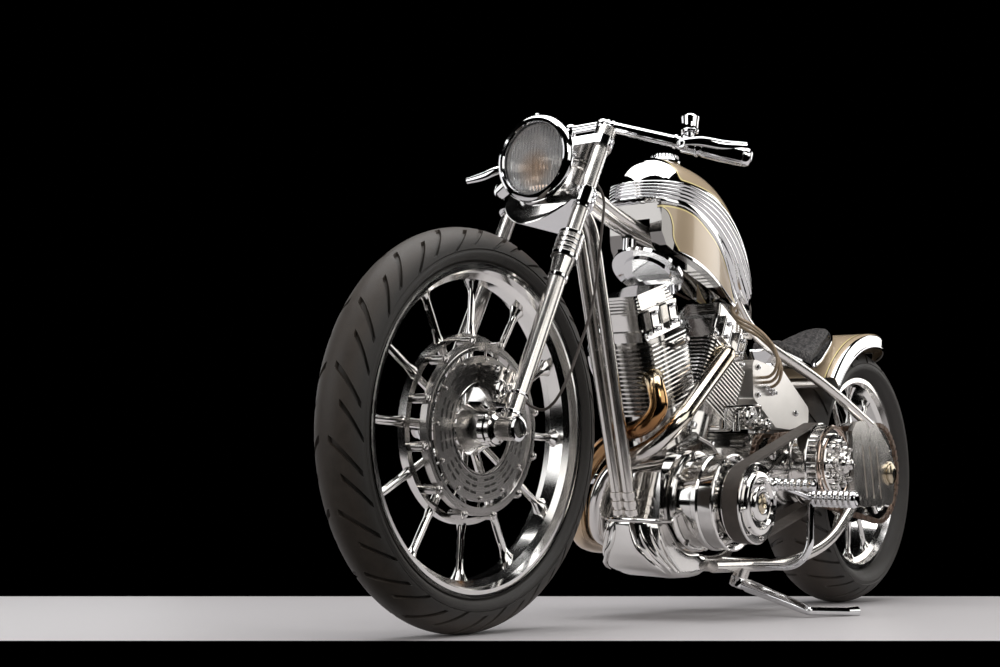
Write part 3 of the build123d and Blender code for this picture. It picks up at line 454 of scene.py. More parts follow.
# %% Edges of the tank's side and of its ribbed band, as (station, height)
side_bottom = ((500, 640), (578, 657), (685, 678), (764, 694), (837, 709), (906, 722), (954, 728),
               (1040, 736))
band_low = ((551, 658), (594, 667), (651, 690), (708, 739), (782, 775), (863, 804), (927, 824), (984, 829),
            (1040, 824))
band_high = ((551, 696), (594, 744), (645, 787), (704, 824), (775, 854), (843, 873), (906, 877), (973, 877),
             (1034, 870))
# and, as (station, distance from the middle), what tells the outer skin from the walls inside it
outer_skin = ((500, 8), (578, 18), (640, 25), (705, 37), (780, 52), (860, 61), (940, 60), (1040, 34))
# and, as (height, station), the side panel's front
side_front = ((700, 944), (733, 958), (760, 978), (790, 984), (812, 996), (829, 1030), (900, 1060))
cream = (0.53, 0.42, 0.29)
cream_dull = (0.47, 0.36, 0.24)
stripe_yellow = (0.9, 0.76, 0.36)
line_dark = (0.055, 0.03, 0.018)


def pinstriped(finish, inset):
    """Cream paint with a dark line at a panel's edge and a pinstripe just inside it."""
    base = finish.mix(finish.noise(7.0, detail=3.0), cream, cream_dull)
    striped = finish.mix(inset.between(1.4, 4.6), base, stripe_yellow)
    return finish.mix(inset.between(-1.0, 1.4), striped, line_dark)


# %% Tank paint
paint = Finish("tank_paint")
forward, left, up = paint.upright()
above_bottom = up - paint.curve(forward, side_bottom)
below_band = paint.curve(forward, band_low) - up
behind_front = paint.curve(up, side_front) - forward
side_inset = above_bottom.least(below_band - 4, 6.0).least(behind_front, 14.0)
above_band = (up - paint.curve(forward, band_high)) * 1.25 - 3
top_inset = above_band.least(966 - forward, 16.0)
panel_inset = side_inset.math("MAXIMUM", side_inset, top_inset)
hidden_wall = (abs(left) < paint.curve(forward, outer_skin)) * (top_inset < -1.0)
painted = (panel_inset > -1.0) * (1 - hidden_wall)
# painted shade: the bare metal's colour is dark below 832 mm and bright above it, standing in for what it
# reflects
bare_with_painted_shade = paint.mix(up > 832, (0.3, 0.29, 0.28), (0.84, 0.83, 0.82))
paint.surface(Base_Color=paint.mix(painted, bare_with_painted_shade, pinstriped(paint, panel_inset)),
              Metallic=1 - painted * 0.85, Roughness=painted * 0.2 + 0.05, Coat_Weight=painted * 0.5,
              Coat_Roughness=0.05)
paint.bump(paint.noise(5.0, detail=2.0), 0.03, distance=0.004)
tank_paint = paint.material

# %% Fender paint, whose lines run a little inside its two edges
paint = Finish("fender_paint")
forward, left, up = paint.upright()
from_edge = 90 - abs(left)
paint.surface(Base_Color=pinstriped(paint, from_edge), Metallic=0.15,
              Roughness=paint.noise(30.0, detail=5.0) * 0.12 + 0.2, Coat_Weight=0.5, Coat_Roughness=0.05)
paint.bump(paint.noise(5.0, detail=2.0), 0.03, distance=0.004)
fender_paint = paint.material
print("two painted finishes")

# %% [markdown]
# ## Finishes for the solid parts
#
# Each solid part names the material slot it belongs to. A table turns slots into finishes, and a
# few parts that differ from the rest of their slot are named one by one.

# %% Give every solid part its finish
finish_of = {
    "tyre": front_tyre_rubber, "polished_alloy": polished_alloy, "cast_alloy": cast_alloy,
    "sprocket_alloy": polished_alloy, "brake_steel": brake_steel, "bright_steel": bright_steel,
    "chrome": chrome, "nickel": nickel, "bronzed_pipe": front_pipe_metal, "grip_metal": chrome,
    "lamp_glass": lamp_glass, "belt_rubber": belt_rubber, "chain_steel": chain_steel,
    "cream_paint": tank_paint, "suede": leather, "red_lens": ruby.material, "black_hose": hose_rubber,
    "tan_hose": braided.material,
}
finish_of_part = {
    "fork_tubes": nickel, "fork_sliders": nickel, "crankcase": engine_alloy, "gearbox": engine_alloy,
    "oil_tank": satin_nickel, "rear_exhaust_pipe": rear_pipe_metal, "rear_fender": fender_paint,
    "rear_tyre": rear_tyre_rubber,
}
slot_of = {part["node"]: part["material_slot"] for part in frame["record"]["subparts"]}
for name, node in nodes.items():
    node.data.materials.clear()
    node.data.materials.append(finish_of_part.get(name, finish_of[slot_of[name]]))
print(len(nodes), "parts finished")

# %% [markdown]
# ## Tools for new pieces
#
# Most new pieces are one of four shapes: something turned on a lathe, a rod bent along a path, a
# sheet laid over a surface, and a bolt. Each gets a small function made of bmesh operators, and a
# last function parks the result, names it and lets it ride on its body.

# %% Turned shapes
def face_way(centre, way):
    """A matrix that puts a shape at a centre with its Z along a direction."""
    return Matrix.Translation(centre) @ Vector(way).to_track_quat("Z", "Y").to_matrix().to_4x4()


def lathe(shape, section, centre, axis, steps=48):
    """Spin a section of (along the axis, radius) points all the way round."""
    place = face_way(centre, axis)
    points = [shape.verts.new(place @ Vector((radius, 0, along))) for along, radius in section]
    lines = [shape.edges.new(pair) for pair in zip(points, points[1:])]
    bmesh.ops.spin(shape, geom=points + lines, cent=centre, axis=axis, dvec=(0, 0, 0),
                   angle=2 * math.pi, steps=steps, use_merge=True)


# %% Rods along a path
def smooth_path(points, steps=6):
    """More points on a smooth curve through these ones."""
    points = [Vector(point) for point in points]
    ends = [points[0] * 2 - points[1]] + points + [points[-1] * 2 - points[-2]]
    path = []
    for a, b, c, d in zip(ends, ends[1:], ends[2:], ends[3:]):
        for step in range(steps):
            t = step / steps
            path.append(b + (c - a) * (t / 2) + (a * 2 - b * 5 + c * 4 - d) * (t * t / 2)
                        + (b * 3 - a - c * 3 + d) * (t ** 3 / 2))
    return path + [points[-1]]


def rod(shape, path, radius, sides=12, flat=1.0):
    """A bar along a path. Radius is a number or one for each point, and flat squashes the bar."""
    before = None
    for number, point in enumerate(path):
        way = Vector(path[min(number + 1, len(path) - 1)]) - Vector(path[max(number - 1, 0)])
        size = radius[number] if isinstance(radius, (list, tuple)) else radius
        place = face_way(Vector(point), way) @ Matrix.Diagonal((flat, 1, 1, 1))
        ring = bmesh.ops.create_circle(shape, segments=sides, radius=size, matrix=place)["verts"]
        loop = list({edge for vertex in ring for edge in vertex.link_edges})
        if before:
            bmesh.ops.bridge_loops(shape, edges=before + loop)
        else:
            bmesh.ops.contextual_create(shape, geom=loop)
        before = loop
    bmesh.ops.contextual_create(shape, geom=before)


# %% Sheets, bolts and blocks
def sheet(shape, along, over, place):
    """A grid whose points go where place(u, v) says, with u and v from 0 to 1."""
    grid = bmesh.ops.create_grid(shape, x_segments=along, y_segments=over, size=1)["verts"]
    for vertex in grid:
        vertex.co = place((vertex.co.x + 1) / 2, (vertex.co.y + 1) / 2)


def bolt(shape, place, way, radius=6.0, height=4.0):
    """A hexagon head with a rounded crown on a washer."""
    way = Vector(way).normalized()
    for low, tall, wide, narrow, sides in ((0, 1.2, 1.25, 1.2, 20), (1.2, height, 1.0, 0.94, 6),
                                           (1.2 + height, height * 0.25, 0.8, 0.5, 12)):
        bmesh.ops.create_cone(shape, cap_ends=True, segments=sides, radius1=radius * wide,
                              radius2=radius * narrow, depth=tall,
                              matrix=face_way(Vector(place) + way * (low + tall / 2), way))


def bolt_circle(shape, centre, axis, circle, count, radius=6.0, height=4.0, start=0.0):
    """Bolts at even spaces round a circle."""
    place = face_way(Vector(centre), axis)
    for number in range(count):
        turn = start + number * 2 * math.pi / count
        spot = place @ Vector((circle * math.cos(turn), circle * math.sin(turn), 0))
        bolt(shape, spot, axis, radius, height)


def block(shape, outline, low, high, way=to_left, rounding=0.0):
    """A flat outline of points, moved to low along a direction and pulled to high, edges rounded."""
    points = [shape.verts.new(Vector(point) + Vector(way) * low) for point in outline]
    face = shape.faces.new(points)
    pulled = bmesh.ops.extrude_face_region(shape, geom=[face])["geom"]
    moved = [item for item in pulled if isinstance(item, bmesh.types.BMVert)]
    bmesh.ops.translate(shape, vec=Vector(way) * (high - low), verts=moved)
    if rounding:
        around = {edge for vertex in points + moved for edge in vertex.link_edges}
        bmesh.ops.bevel(shape, geom=list(around), offset=rounding, segments=2, profile=0.5,
                        affect="EDGES", material=-1)


# %% Parking a finished piece
def add_piece(shape, name, body, finish, smooth=35, replaces=()):
    """Close and park a shape, make it an object, and let it ride on a body."""
    bmesh.ops.remove_doubles(shape, verts=shape.verts, dist=0.01)
    bmesh.ops.recalc_face_normals(shape, faces=shape.faces)
    bmesh.ops.transform(shape, matrix=park, verts=shape.verts)
    mesh = bpy.data.meshes.new(name)
    shape.to_mesh(mesh)
    shape.free()
    mesh.materials.append(finish)
    mesh.shade_smooth()
    mesh.set_sharp_from_angle(angle=math.radians(smooth))
    piece = bpy.data.objects.new(name, mesh)
    scene.collection.objects.link(piece)
    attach(piece, body)
    if replaces:
        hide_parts(*replaces)
    print(name, len(mesh.polygons), "faces")
    return piece


def touch(node, origin, way):
    """Where a ray from an upright point meets a solid part, and which way its surface faces."""
    turn = park.to_3x3()
    start = park @ Vector(origin)
    hit, place, normal, _ = nodes[node].ray_cast(start, (turn @ Vector(way)).normalized())
    if not hit:
        return None, None
    return stand_up @ place, (turn.inverted() @ normal).normalized()


def on_fork(station, side=0.0, forward=0.0):
    """A point on the fork: station up from the axle, to the left, and ahead of the legs."""
    return front_axle + fork_up * station + to_left * side + fork_ahead * forward


fork_up = Vector((-0.4147, 0, 0.90996))
fork_ahead = Vector((0.90996, 0, 0.4147))
print("tools ready")

# %% [markdown]
# ## Tyres
#
# The tread is one sheet for each tyre, wrapped round it. Its columns are not evenly spaced: they
# stand at the walls of the grooves, so a groove is made by moving a few columns inwards, and it
# gets steep walls without any cutting. A shear slants the columns, so the slashes sweep back from
# the middle. Long and short slashes alternate. The sidewalls are turned, with fine ribs, and the
# tread's edges tuck under them.

# %% Wrap a slashed tread round each tyre
columns = (0.0, 0.014, 0.095, 0.11, 0.2, 0.32, 0.43, 0.444, 0.515, 0.53, 0.64, 0.76, 0.88)
long_slash, short_slash = (1, 2), (7, 8)
slash_depth, tucked_depth = 5.6, 9.0


def tread_sheet(shape, axle, radius, crown, edge_degrees, repeats):
    """The tread, with slashes from the middle to the shoulders."""
    rows = 44
    grid = bmesh.ops.create_grid(shape, x_segments=repeats * len(columns), y_segments=rows, size=1)["verts"]
    for vertex in grid:
        count = round((vertex.co.x + 1) / 2 * repeats * len(columns))
        across = vertex.co.y
        repeat, column = divmod(count, len(columns))
        lean_angle = math.radians(edge_degrees) * across
        depth = 0.0
        if column in long_slash and 0.14 < abs(across) < 0.86:
            depth = slash_depth
        if column in short_slash and 0.4 < abs(across) < 0.93:
            depth = slash_depth
        if abs(across) > 0.99:
            depth = tucked_depth
        slant = 0.72 * abs(across) ** (1.5 if column < 4 or column > 10 else 1.75)
        turn = (repeat + columns[column] + slant) * 2 * math.pi / repeats
        out = radius - crown + (crown - depth) * math.cos(lean_angle)
        left = (crown - depth) * math.sin(lean_angle)
        vertex.co = axle + Vector((out * math.sin(turn), left, out * math.cos(turn)))


def add_tyre(name, body, axle, radius, crown, edge_degrees, lip_radius, lip_half, repeats, finish):
    """A tread and two ribbed sidewalls."""
    shape = bmesh.new()
    tread_sheet(shape, axle, radius, crown, edge_degrees, repeats)
    edge_half = (crown - 1.5) * math.sin(math.radians(edge_degrees * 0.97))
    edge_radius = radius - crown + (crown - 1.5) * math.cos(math.radians(edge_degrees * 0.97))
    wall = []
    for step in range(25):
        t = step / 24
        swell = math.sin(math.pi * t) * 2.0 + (0.5 if step % 2 and 3 < step < 21 else 0.0)
        wall.append((edge_half + (lip_half - 5 - edge_half) * t ** 2.2 + swell,
                     edge_radius + (lip_radius + 2 - edge_radius) * t))
    inside = [(lip_half - 5.4, lip_radius - 7), (0, lip_radius - 7)]
    section = wall + inside
    for side in (1, -1):
        lathe(shape, [(side * along, out) for along, out in section], axle, to_left, 96)
    add_piece(shape, name + "_treaded", body, finish, smooth=28, replaces=(name,))


add_tyre("front_tyre", "front_wheel", front_axle, 340, 46, 86, 277, 36, 19, front_tyre_rubber)
add_tyre("rear_tyre", "rear_wheel", rear_axle, 331, 96, 64, 243, 62, 18, rear_tyre_rubber)

# %% [markdown]
# ## Spoke ends and hubs
#
# Each forged spoke widens where it joins the rim and the ring, with a flat face on both sides.
# One flare is a short rod whose radius shrinks along its path, and it is squashed. The front
# hub's cap is a polished cone with a step.

# %% Flared spoke ends and the front hub's cap
def add_flares(name, body, axle, inner, outer, left, count):
    shape = bmesh.new()
    for number in range(count):
        turn = number * 2 * math.pi / count
        out = Vector((math.sin(turn), 0, math.cos(turn)))
        middle = axle + to_left * left
        for end, way, widths in ((outer, -1, (19, 14.5, 10.5, 8.2, 6.9, 6.3)),
                                 (inner, 1, (11, 9.4, 8, 7, 6.4))):
            path = [middle + out * (end + way * step * 7) for step in range(len(widths))]
            rod(shape, path, widths, sides=14, flat=0.62)
        rod(shape, [middle + out * (inner + 26), middle + out * (outer - 36)], 7.4, sides=8, flat=0.72)
    add_piece(shape, name, body, polished_alloy)


add_flares("front_spoke_ends", "front_wheel", front_axle, 158, 254, -8, 12)
add_flares("rear_spoke_ends", "rear_wheel", rear_axle, 126, 219, 30, 12)
shape = bmesh.new()
for side in (1, -1):
    lathe(shape, ((28, 0.1), (28, 30), (50, 30), (54, 27), (60, 26), (62, 23), (71, 18), (72, 13.5),
                  (60, 13)), front_axle, to_left * side)
lathe(shape, ((4, 20), (4, 43), (8, 45), (12, 43), (30, 33), (44, 28.4)), front_axle, to_left, 64)
for number in range(6):
    turn = (number + 0.5) * math.pi / 3
    start = front_axle + Vector((math.sin(turn), 0, math.cos(turn))) * 22 - to_left * 4
    rod(shape, [start, start + Vector((math.sin(turn), 0, math.cos(turn))) * 126 - to_left * 4], 8, sides=16)
add_piece(shape, "front_hub_cap", "front_wheel", polished_alloy)
shape = bmesh.new()
for left in (-36, 36):
    lathe(shape, ((left - 2, 273), (left - 2.6, 277), (left, 279.2), (left + 2.6, 277), (left + 2, 273)),
          front_axle, to_left, 96)
add_piece(shape, "front_rim_lips", "front_wheel", polished_alloy)

# %% [markdown]
# ## Front brake
#
# The rotor hangs in its ring on twelve bosses, each with a bolt, and the drive pins at the
# rotor's edge show as small dark-centred buttons. The caliper is built up from a bridge, two
# round piston caps and their bolts.

# %% Bolts of the rotor, and the caliper's caps
shape = bmesh.new()
bolt_circle(shape, front_axle + to_left * 29, to_left, 148, 12, radius=6, height=3, start=math.pi / 12)
bolt_circle(shape, front_axle + to_left * 30, to_left, 116, 12, radius=3.6, height=1.6)
lathe(shape, ((29.5, 131), (31.5, 132), (31.5, 137), (29.5, 138)), front_axle, to_left, 96)
lathe(shape, ((29.5, 75), (31, 76), (31, 79), (29.5, 80)), front_axle, to_left, 72)
add_piece(shape, "front_disc_bolts", "front_wheel", bright_steel)

shape = bmesh.new()
caliper_front = Vector((1502, 65, 340))
for along, over in ((-28, 62), (2, 64)):
    spot = caliper_front + Vector((along, 0, over))
    lathe(shape, ((-3, 0.1), (-3, 17), (3, 17), (5, 14), (5, 9), (3.5, 8), (3.5, 0.1)), spot, to_left, 32)
for along, over in ((-42, 46), (-42, 94), (15, 50), (15, 98), (-13, 95)):
    bolt(shape, caliper_front + Vector((along, -0.5, over)), to_left, 5.5, 4)
for over in (46, 92):
    rod(shape, [Vector((1454, 20, 340 + over)), Vector((1454, 62, 340 + over))], 7, sides=16)
lug = [(1456, 0, 388), (1470, 0, 384), (1476, 0, 400), (1470, 0, 436), (1456, 0, 436)]
block(shape, lug, 64, 70, rounding=2)
add_piece(shape, "front_caliper_caps", "steering", polished_alloy)

# %% [markdown]
# ## Fork
#
# The lower legs have turned rings, and the lower clamp carries an apron whose bottom edge is
# curved. Pinch bolts close both clamps.

# %% Rings, apron and clamp bolts
leg_half = 81
# columns: from the axle up the leg to the ring's low and high edge, and the ring's radius
fork_ring_table = (
    (296, 304, 18.2), (338, 346, 24.6), (352, 356, 24.8), (362, 366, 24.8), (372, 376, 24.8),
    (384, 391, 24.4), (448, 455, 17), (486, 492, 18), (60, 66, 17.4), (24, 30, 18.6),
)
shape = bmesh.new()
for side in (leg_half, -leg_half):
    foot = on_fork(0, side)
    for low, high, out in fork_ring_table:
        lathe(shape, ((low, 14), (low, out - 1), (low + 1, out), (high - 1, out), (high, out - 1),
                      (high, 14)), foot, fork_up, 40)
    lathe(shape, ((628, 18), (631, 17), (634, 12), (636, 11.5), (636, 6), (633, 5), (633, 0.1)), foot,
          fork_up, 40)
    for station, reach in ((463, 22), (477, 22), (598, 20)):
        way = to_left * (1 if side > 0 else -1)
        bolt(shape, on_fork(station, side) + way * (reach - 0.5), way, 4.4, 3.4)
    lathe(shape, ((15, 13), (17.5, 21), (24, 21), (26, 18), (26, 14.5)), front_axle + to_left * side,
          to_left * (1 if side > 0 else -1), 40)
add_piece(shape, "fork_rings", "steering", chrome)

shape = bmesh.new()
sheet(shape, 24, 8, lambda u, v: on_fork(
    488 - v * (34 + 52 * math.sin(math.pi * u) ** 0.8), (u - 0.5) * 150,
    24 + 12 * math.cos(math.pi * (u - 0.5)) + 3 * v))
bmesh.ops.solidify(shape, geom=list(shape.faces), thickness=3)
add_piece(shape, "fork_apron", "steering", polished_alloy)

# %% [markdown]
# ## Headlight
#
# The glass is a shallow dome with vertical flutes, ahead of a bright bowl. The bowl and the bulb
# are what the eye reads as depth, so both are modelled: the bowl is turned to a parabola, and
# the bulb stands at its focus. A rounded rim holds the glass.

# %% Bowl, bulb and rim
lamp_middle = on_fork(520.5, 0, 72)
shape = bmesh.new()
bowl = [(-2 - 44 * (1 - (out / 66) ** 2), out) for out in (66, 58, 48, 38, 28, 18, 10)]
lathe(shape, bowl, lamp_middle, ahead, 64)
lathe(shape, ((-47, 9), (-30, 9), (-26, 7), (-22, 0.1)), lamp_middle, ahead, 24)
add_piece(shape, "headlight_bowl", "steering", satin_nickel)

shape = bmesh.new()
lathe(shape, ((5, 67), (8.5, 69), (10, 73), (8.5, 77.5), (4, 81), (-4, 82), (-9, 80.5), (-9, 78)),
      lamp_middle, ahead, 72)
lathe(shape, ((-13, 75), (-15, 75.5), (-17, 74), (-25, 62), (-27, 57)), lamp_middle, ahead, 72)
bolt(shape, lamp_middle + Vector((-2, 0, 81)), upwards, 4, 3)
for side in (1, -1):
    bolt(shape, lamp_middle + Vector((-10, 77 * side, 0)), to_left * side, 6, 4)
add_piece(shape, "headlight_rim", "steering", chrome)

# %% [markdown]
# ## Handlebar
#
# The polished grips have rounded ends and a collar. The levers are flat blades
# with a slight bend. Each small reservoir has a bell-shaped cap.

# %% Grips, lever blades and reservoir caps
riser_top = on_fork(678.1, 37.5, -33.8)
grip_end = on_fork(656.4, 298.0, -164.6)
bar_length = (grip_end - riser_top).length
# columns: inwards from the bar's end, radius
grip_section = ((106, 11.2), (106, 19), (103, 20), (99, 19), (98, 16), (94, 16), (93, 18), (60, 18.6),
                (16, 18), (15, 17.2), (14, 18), (8, 17), (3, 14), (0.5, 9), (0, 0.1))
grip_shape = bmesh.new()
lever_shape = bmesh.new()
for side in (1, -1):
    mirrored = Matrix.Diagonal((1, side, 1))
    way = mirrored @ (grip_end - riser_top).normalized()
    start = mirrored @ riser_top
    section = [(bar_length - inward, radius) for inward, radius in grip_section]
    lathe(grip_shape, section, start, way, 40)
    for low, out in ((8, 13.4), (18, 12.8), (bar_length - 150, 13.4), (bar_length - 140, 12.6)):
        lathe(grip_shape, ((low, 10.9), (low, out), (low + 5, out), (low + 5, 10.9)), start, way, 32)
    perch = start + way * (bar_length - 120)
    rod(lever_shape, [perch - way * 13, perch + way * 13], 17.5, sides=28)
    rod(lever_shape, [perch, perch + Vector((30, 0, -4))], 8, sides=16)
    rod(lever_shape, [perch, perch + Vector((4, 0, 50))], 9, sides=16)
    tip = Vector((1090, 292, 892)) if side > 0 else Vector((1196, -292, 872))
    root = perch + Vector((30, 0, -2))
    sweep = (tip - root) / 3
    path = smooth_path([root, root + sweep + Vector((8, 0, 2)), root + sweep * 2 + Vector((6, 0, -2)), tip])
    rod(lever_shape, path, [6.5 + 2.5 * math.sin(math.pi * n / (len(path) - 1)) for n in range(len(path))],
        sides=14, flat=0.6)
    lathe(lever_shape, ((-3, 0.1), (-3, 8), (3, 9), (6, 6), (7, 0.1)), perch + Vector((30, 0, -6)),
          upwards, 24)
    lathe(lever_shape, ((22, 12), (23, 16), (27, 16.8), (30, 15.4), (44, 16), (50, 17), (53, 17),
                        (56, 14), (60, 8), (61, 0.1)), perch, upwards, 40)
    for along in (-9, 9):
        bolt(lever_shape, perch + way * along + Vector((9, 0, 13)), (0.5, 0, 0.86), 3.4, 2.6)
add_piece(grip_shape, "rounded_grips", "steering", chrome, replaces=("grips",))
add_piece(lever_shape, "lever_blades", "steering", chrome, replaces=("hand_controls",))

# %% [markdown]
# ## The tank's bright trim
#
# A chrome band with five ribs runs along each side of the tank and round its nose, like a
# draped ribbon. To lie exactly on the tank, each of its points is found by shooting a ray at the
# solid tank, and is then lifted off along the surface's normal. Five rounded ribs come from the
# height of the lift. A narrower strip follows the tank's bottom edge the same way. Near the
# tail a ray may pass by the tank, and is then shifted until it meets it.

# %% Curves of the band as functions
def value_at(points, where):
    """A curve through (along, value) points at one place, straight between them."""
    for (a, low), (b, high) in zip(points, points[1:]):
        if where <= b:
            return low + (high - low) * max(0.0, (where - a) / (b - a))
    return points[-1][1]


def eased(points, where, spread=14.0):
    """The same curve with its corners rounded."""
    return sum(value_at(points, where + spread * step) for step in (-2, -1, 0, 1, 2)) / 5


nose_start = 985.0
ray_start = 300


# %% Rays that land on the tank
def nearest_touch(node, origin, way, shift):
    """Where a ray meets a part, after as many shifts of it as that takes."""
    for count in range(24):
        place, normal = touch(node, origin + shift * count, way)
        if place is not None:
            break
    return place, normal


def band_spot(along, share, first=588.0, side_length=397.0):
    """Where a ray at the band lands. along runs from 0 at the left tail, round the nose, to 1."""
    quarter = side_length + 110
    run = along * 2 * quarter
    mirrored = run > quarter
    run = min(run, 2 * quarter - run)
    if run < side_length:
        station = first + run
        low = eased(band_low, station)
        height = low + (eased(band_high, station) - low) * share
        origin, way = Vector((station, ray_start, height)), Vector((0, -1, 0))
    else:
        turn = math.pi / 2 * (run - side_length) / 110
        station = nose_start + 50 * math.sin(turn)
        low = eased(band_low, station) + 6 * math.sin(turn)
        height = low + (eased(band_high, station) - low) * share
        outward = Vector((math.sin(turn), math.cos(turn), 0))
        origin, way = Vector((nose_start, 0, height)) + outward * ray_start, -outward
    if mirrored:
        origin.y, way.y = -origin.y, -way.y
    return nearest_touch("fuel_tank", origin, way, upwards * -3), origin


# %% Lay the ribbed band and the lower strip
def laid(places, lift):
    """Where a ray lands, lifted off the surface; or inside the tank if it missed."""
    (place, normal), origin = places
    if place is None:
        return Vector((origin.x, 0, origin.z))
    return place + normal * lift


def rib_lift(share):
    """How far the band stands off the tank: tucked edges, a plain lower part and five ribs."""
    if share < 0.01 or share > 0.99:
        return -1.0
    if share < 0.25:
        return 1.2 + 1.6 * math.sin(math.pi * share / 0.25) ** 0.5
    return 1.0 + 2.6 * abs(math.sin(5 * math.pi * (share - 0.25) / 0.75))


shape = bmesh.new()
sheet(shape, 180, 40, lambda u, v: laid(band_spot(u, v), rib_lift(v)))
add_piece(shape, "tank_band", "frame", chrome, smooth=60)

strip_shape = bmesh.new()
for side in (1, -1):
    def strip_spot(u, v, side=side):
        station = 612 + 360 * u
        height = value_at(side_bottom, station) - 4 + 13 * v
        origin = Vector((station, ray_start * side, height))
        landed = nearest_touch("fuel_tank", origin, to_left * -side, upwards * 3)
        return laid((landed, origin), -1.0 if v < 0.01 or v > 0.99 else 1.6)
    sheet(strip_shape, 90, 6, strip_spot)
add_piece(strip_shape, "tank_strip", "frame", chrome, smooth=60)

# %% Filler cap
shape = bmesh.new()
cap_place, cap_way = touch("fuel_tank", (900, 0, 1200), (0, 0, -1))
lathe(shape, ((-2, 0.1), (-2, 33), (2, 34), (6, 32), (7, 29), (11, 27), (16, 25), (19, 18), (20, 0.1)),
      cap_place, cap_way, 48)
for number in range(24):
    turn = number * math.pi / 12
    spot = face_way(cap_place, cap_way) @ Vector((27.5 * math.cos(turn), 27.5 * math.sin(turn), 7))
    rod(shape, [spot, spot + cap_way * 8], 1.8, sides=8)
add_piece(shape, "filler_cap", "frame", chrome)

# %% [markdown]
# ## Fender trim, seat rim and seat
#
# The fender is one curved sheet with turned-down sides, whose width shrinks to a round tail. A
# function gives any place on its skin, so the wide bright bands and their rolled beads use the
# same function, lifted a little.

# %% Fender with a rounded tail
fender_radius = 352.0
fender_start, fender_sweep = 38, 74     # degrees


def fender_half(degrees_up):
    """Half the fender's width: full at the front, and rounded off over the tail."""
    past = max(0.0, (degrees_up - 88.0) / 26.0)
    return 110 * math.sqrt(max(0.02, 1 - past * past))


def on_fender(degrees_up, share, grow=0.0):
    """A place on the fender's skin, with share from -1 to 1 across its section of 272 mm."""
    half = fender_half(degrees_up) + grow
    run = abs(share) * (half + 26 + grow)
    side = 1 if share > 0 else -1
    turn = math.radians(degrees_up)
    corner = 10.0
    if run < half - corner:
        left, out = run, fender_radius
    elif run < half + 0.57 * corner:
        bend = (run - half + corner) / corner
        left = half - corner + corner * math.sin(bend)
        out = fender_radius - corner + corner * math.cos(bend)
    else:
        left, out = half, fender_radius - corner - (run - half - 0.57 * corner)
    out += grow
    return rear_axle + Vector((out * math.cos(turn), left * side, out * math.sin(turn)))


shape = bmesh.new()
sheet(shape, 72, 48, lambda u, v: on_fender(fender_start + fender_sweep * u, 2 * v - 1))
bmesh.ops.solidify(shape, geom=list(shape.faces), thickness=-3.0)
add_piece(shape, "fender_shell", "frame", fender_paint, smooth=50, replaces=("rear_fender",))

# %% Bright bands along the fender's edges
shape = bmesh.new()
for side in (1, -1):
    sheet(shape, 72, 14, lambda u, v, side=side: on_fender(
        fender_start + fender_sweep * u, side * (0.7 + 0.3 * v), -1.0 if v < 0.05 else 1.6))
    bead = [on_fender(fender_start + fender_sweep * step / 60, side, 1.0) for step in range(61)]
    rod(shape, bead, 3.6, sides=12)
    tail = [on_fender(fender_start + fender_sweep, side * (1 - step / 8), 1.0) for step in range(9)]
    rod(shape, tail, 3.6, sides=12)
add_piece(shape, "fender_bands", "frame", chrome, smooth=60)

# %% [markdown]
# The seat is foam under a leather cover. Its solid pad is copied, made into an even mesh, and
# inflated with a few frames of cloth simulation, which rounds its edges and crowns it. A vertex
# may move only a little, so that the pad keeps its size.

# %% An even copy of a solid part
def even_copy(node, name, shrink, voxel):
    """A copy of a solid part, made of small even faces."""
    source = nodes[node].data.copy()
    shape = bmesh.new()
    shape.from_mesh(source)
    bmesh.ops.remove_doubles(shape, verts=shape.verts, dist=0.00002)
    middle = sum((vertex.co for vertex in shape.verts), Vector()) / len(shape.verts)
    bmesh.ops.scale(shape, vec=shrink, space=Matrix.Translation(-middle), verts=shape.verts)
    shape.to_mesh(source)
    shape.free()
    copy = bpy.data.objects.new(name, source)
    scene.collection.objects.link(copy)
    bpy.context.view_layer.objects.active = copy
    remesh = copy.modifiers.new("even", "REMESH")
    remesh.mode = "VOXEL"
    remesh.voxel_size = voxel
    bpy.ops.object.modifier_apply(modifier="even")
    return copy


def smoothed(copy, rounds):
    """The copy's shape, stood upright and smoothed, with the copy itself removed."""
    shape = bmesh.new()
    shape.from_mesh(copy.data)
    for _ in range(rounds):
        bmesh.ops.smooth_vert(shape, verts=shape.verts, factor=0.5, use_axis_x=True,
                              use_axis_y=True, use_axis_z=True)
    bmesh.ops.transform(shape, matrix=stand_up, verts=shape.verts)
    bpy.data.objects.remove(copy)
    return shape


# %% Inflate the seat
def inflated(node, name, cap):
    """A solid pad swollen by pressure, whose vertices move no further than a cap."""
    pad = even_copy(node, name, (0.97, 0.94, 0.95), 0.0045)
    before = [vertex.co.copy() for vertex in pad.data.vertices]
    cloth = pad.modifiers.new("foam", "CLOTH")
    cloth.settings.use_pressure = True
    cloth.settings.uniform_pressure_force = 4.0
    cloth.settings.effector_weights.gravity = 0.0
    cloth.settings.quality = 4
    for number in range(1, 15):
        scene.frame_set(number)
    swollen = pad.evaluated_get(bpy.context.evaluated_depsgraph_get()).to_mesh()
    after = [vertex.co.copy() for vertex in swollen.vertices]
    pad.modifiers.remove(cloth)
    for vertex, old, new in zip(pad.data.vertices, before, after):
        moved = new - old
        vertex.co = old + moved * min(1.0, cap / max(moved.length, 1e-9))
    scene.frame_set(1)
    return smoothed(pad, 4)


shape = inflated("seat_pad", "seat_foam", 0.007)
seat_cover = add_piece(shape, "seat_cover", "frame", leather, smooth=80, replaces=("seat_pad",))

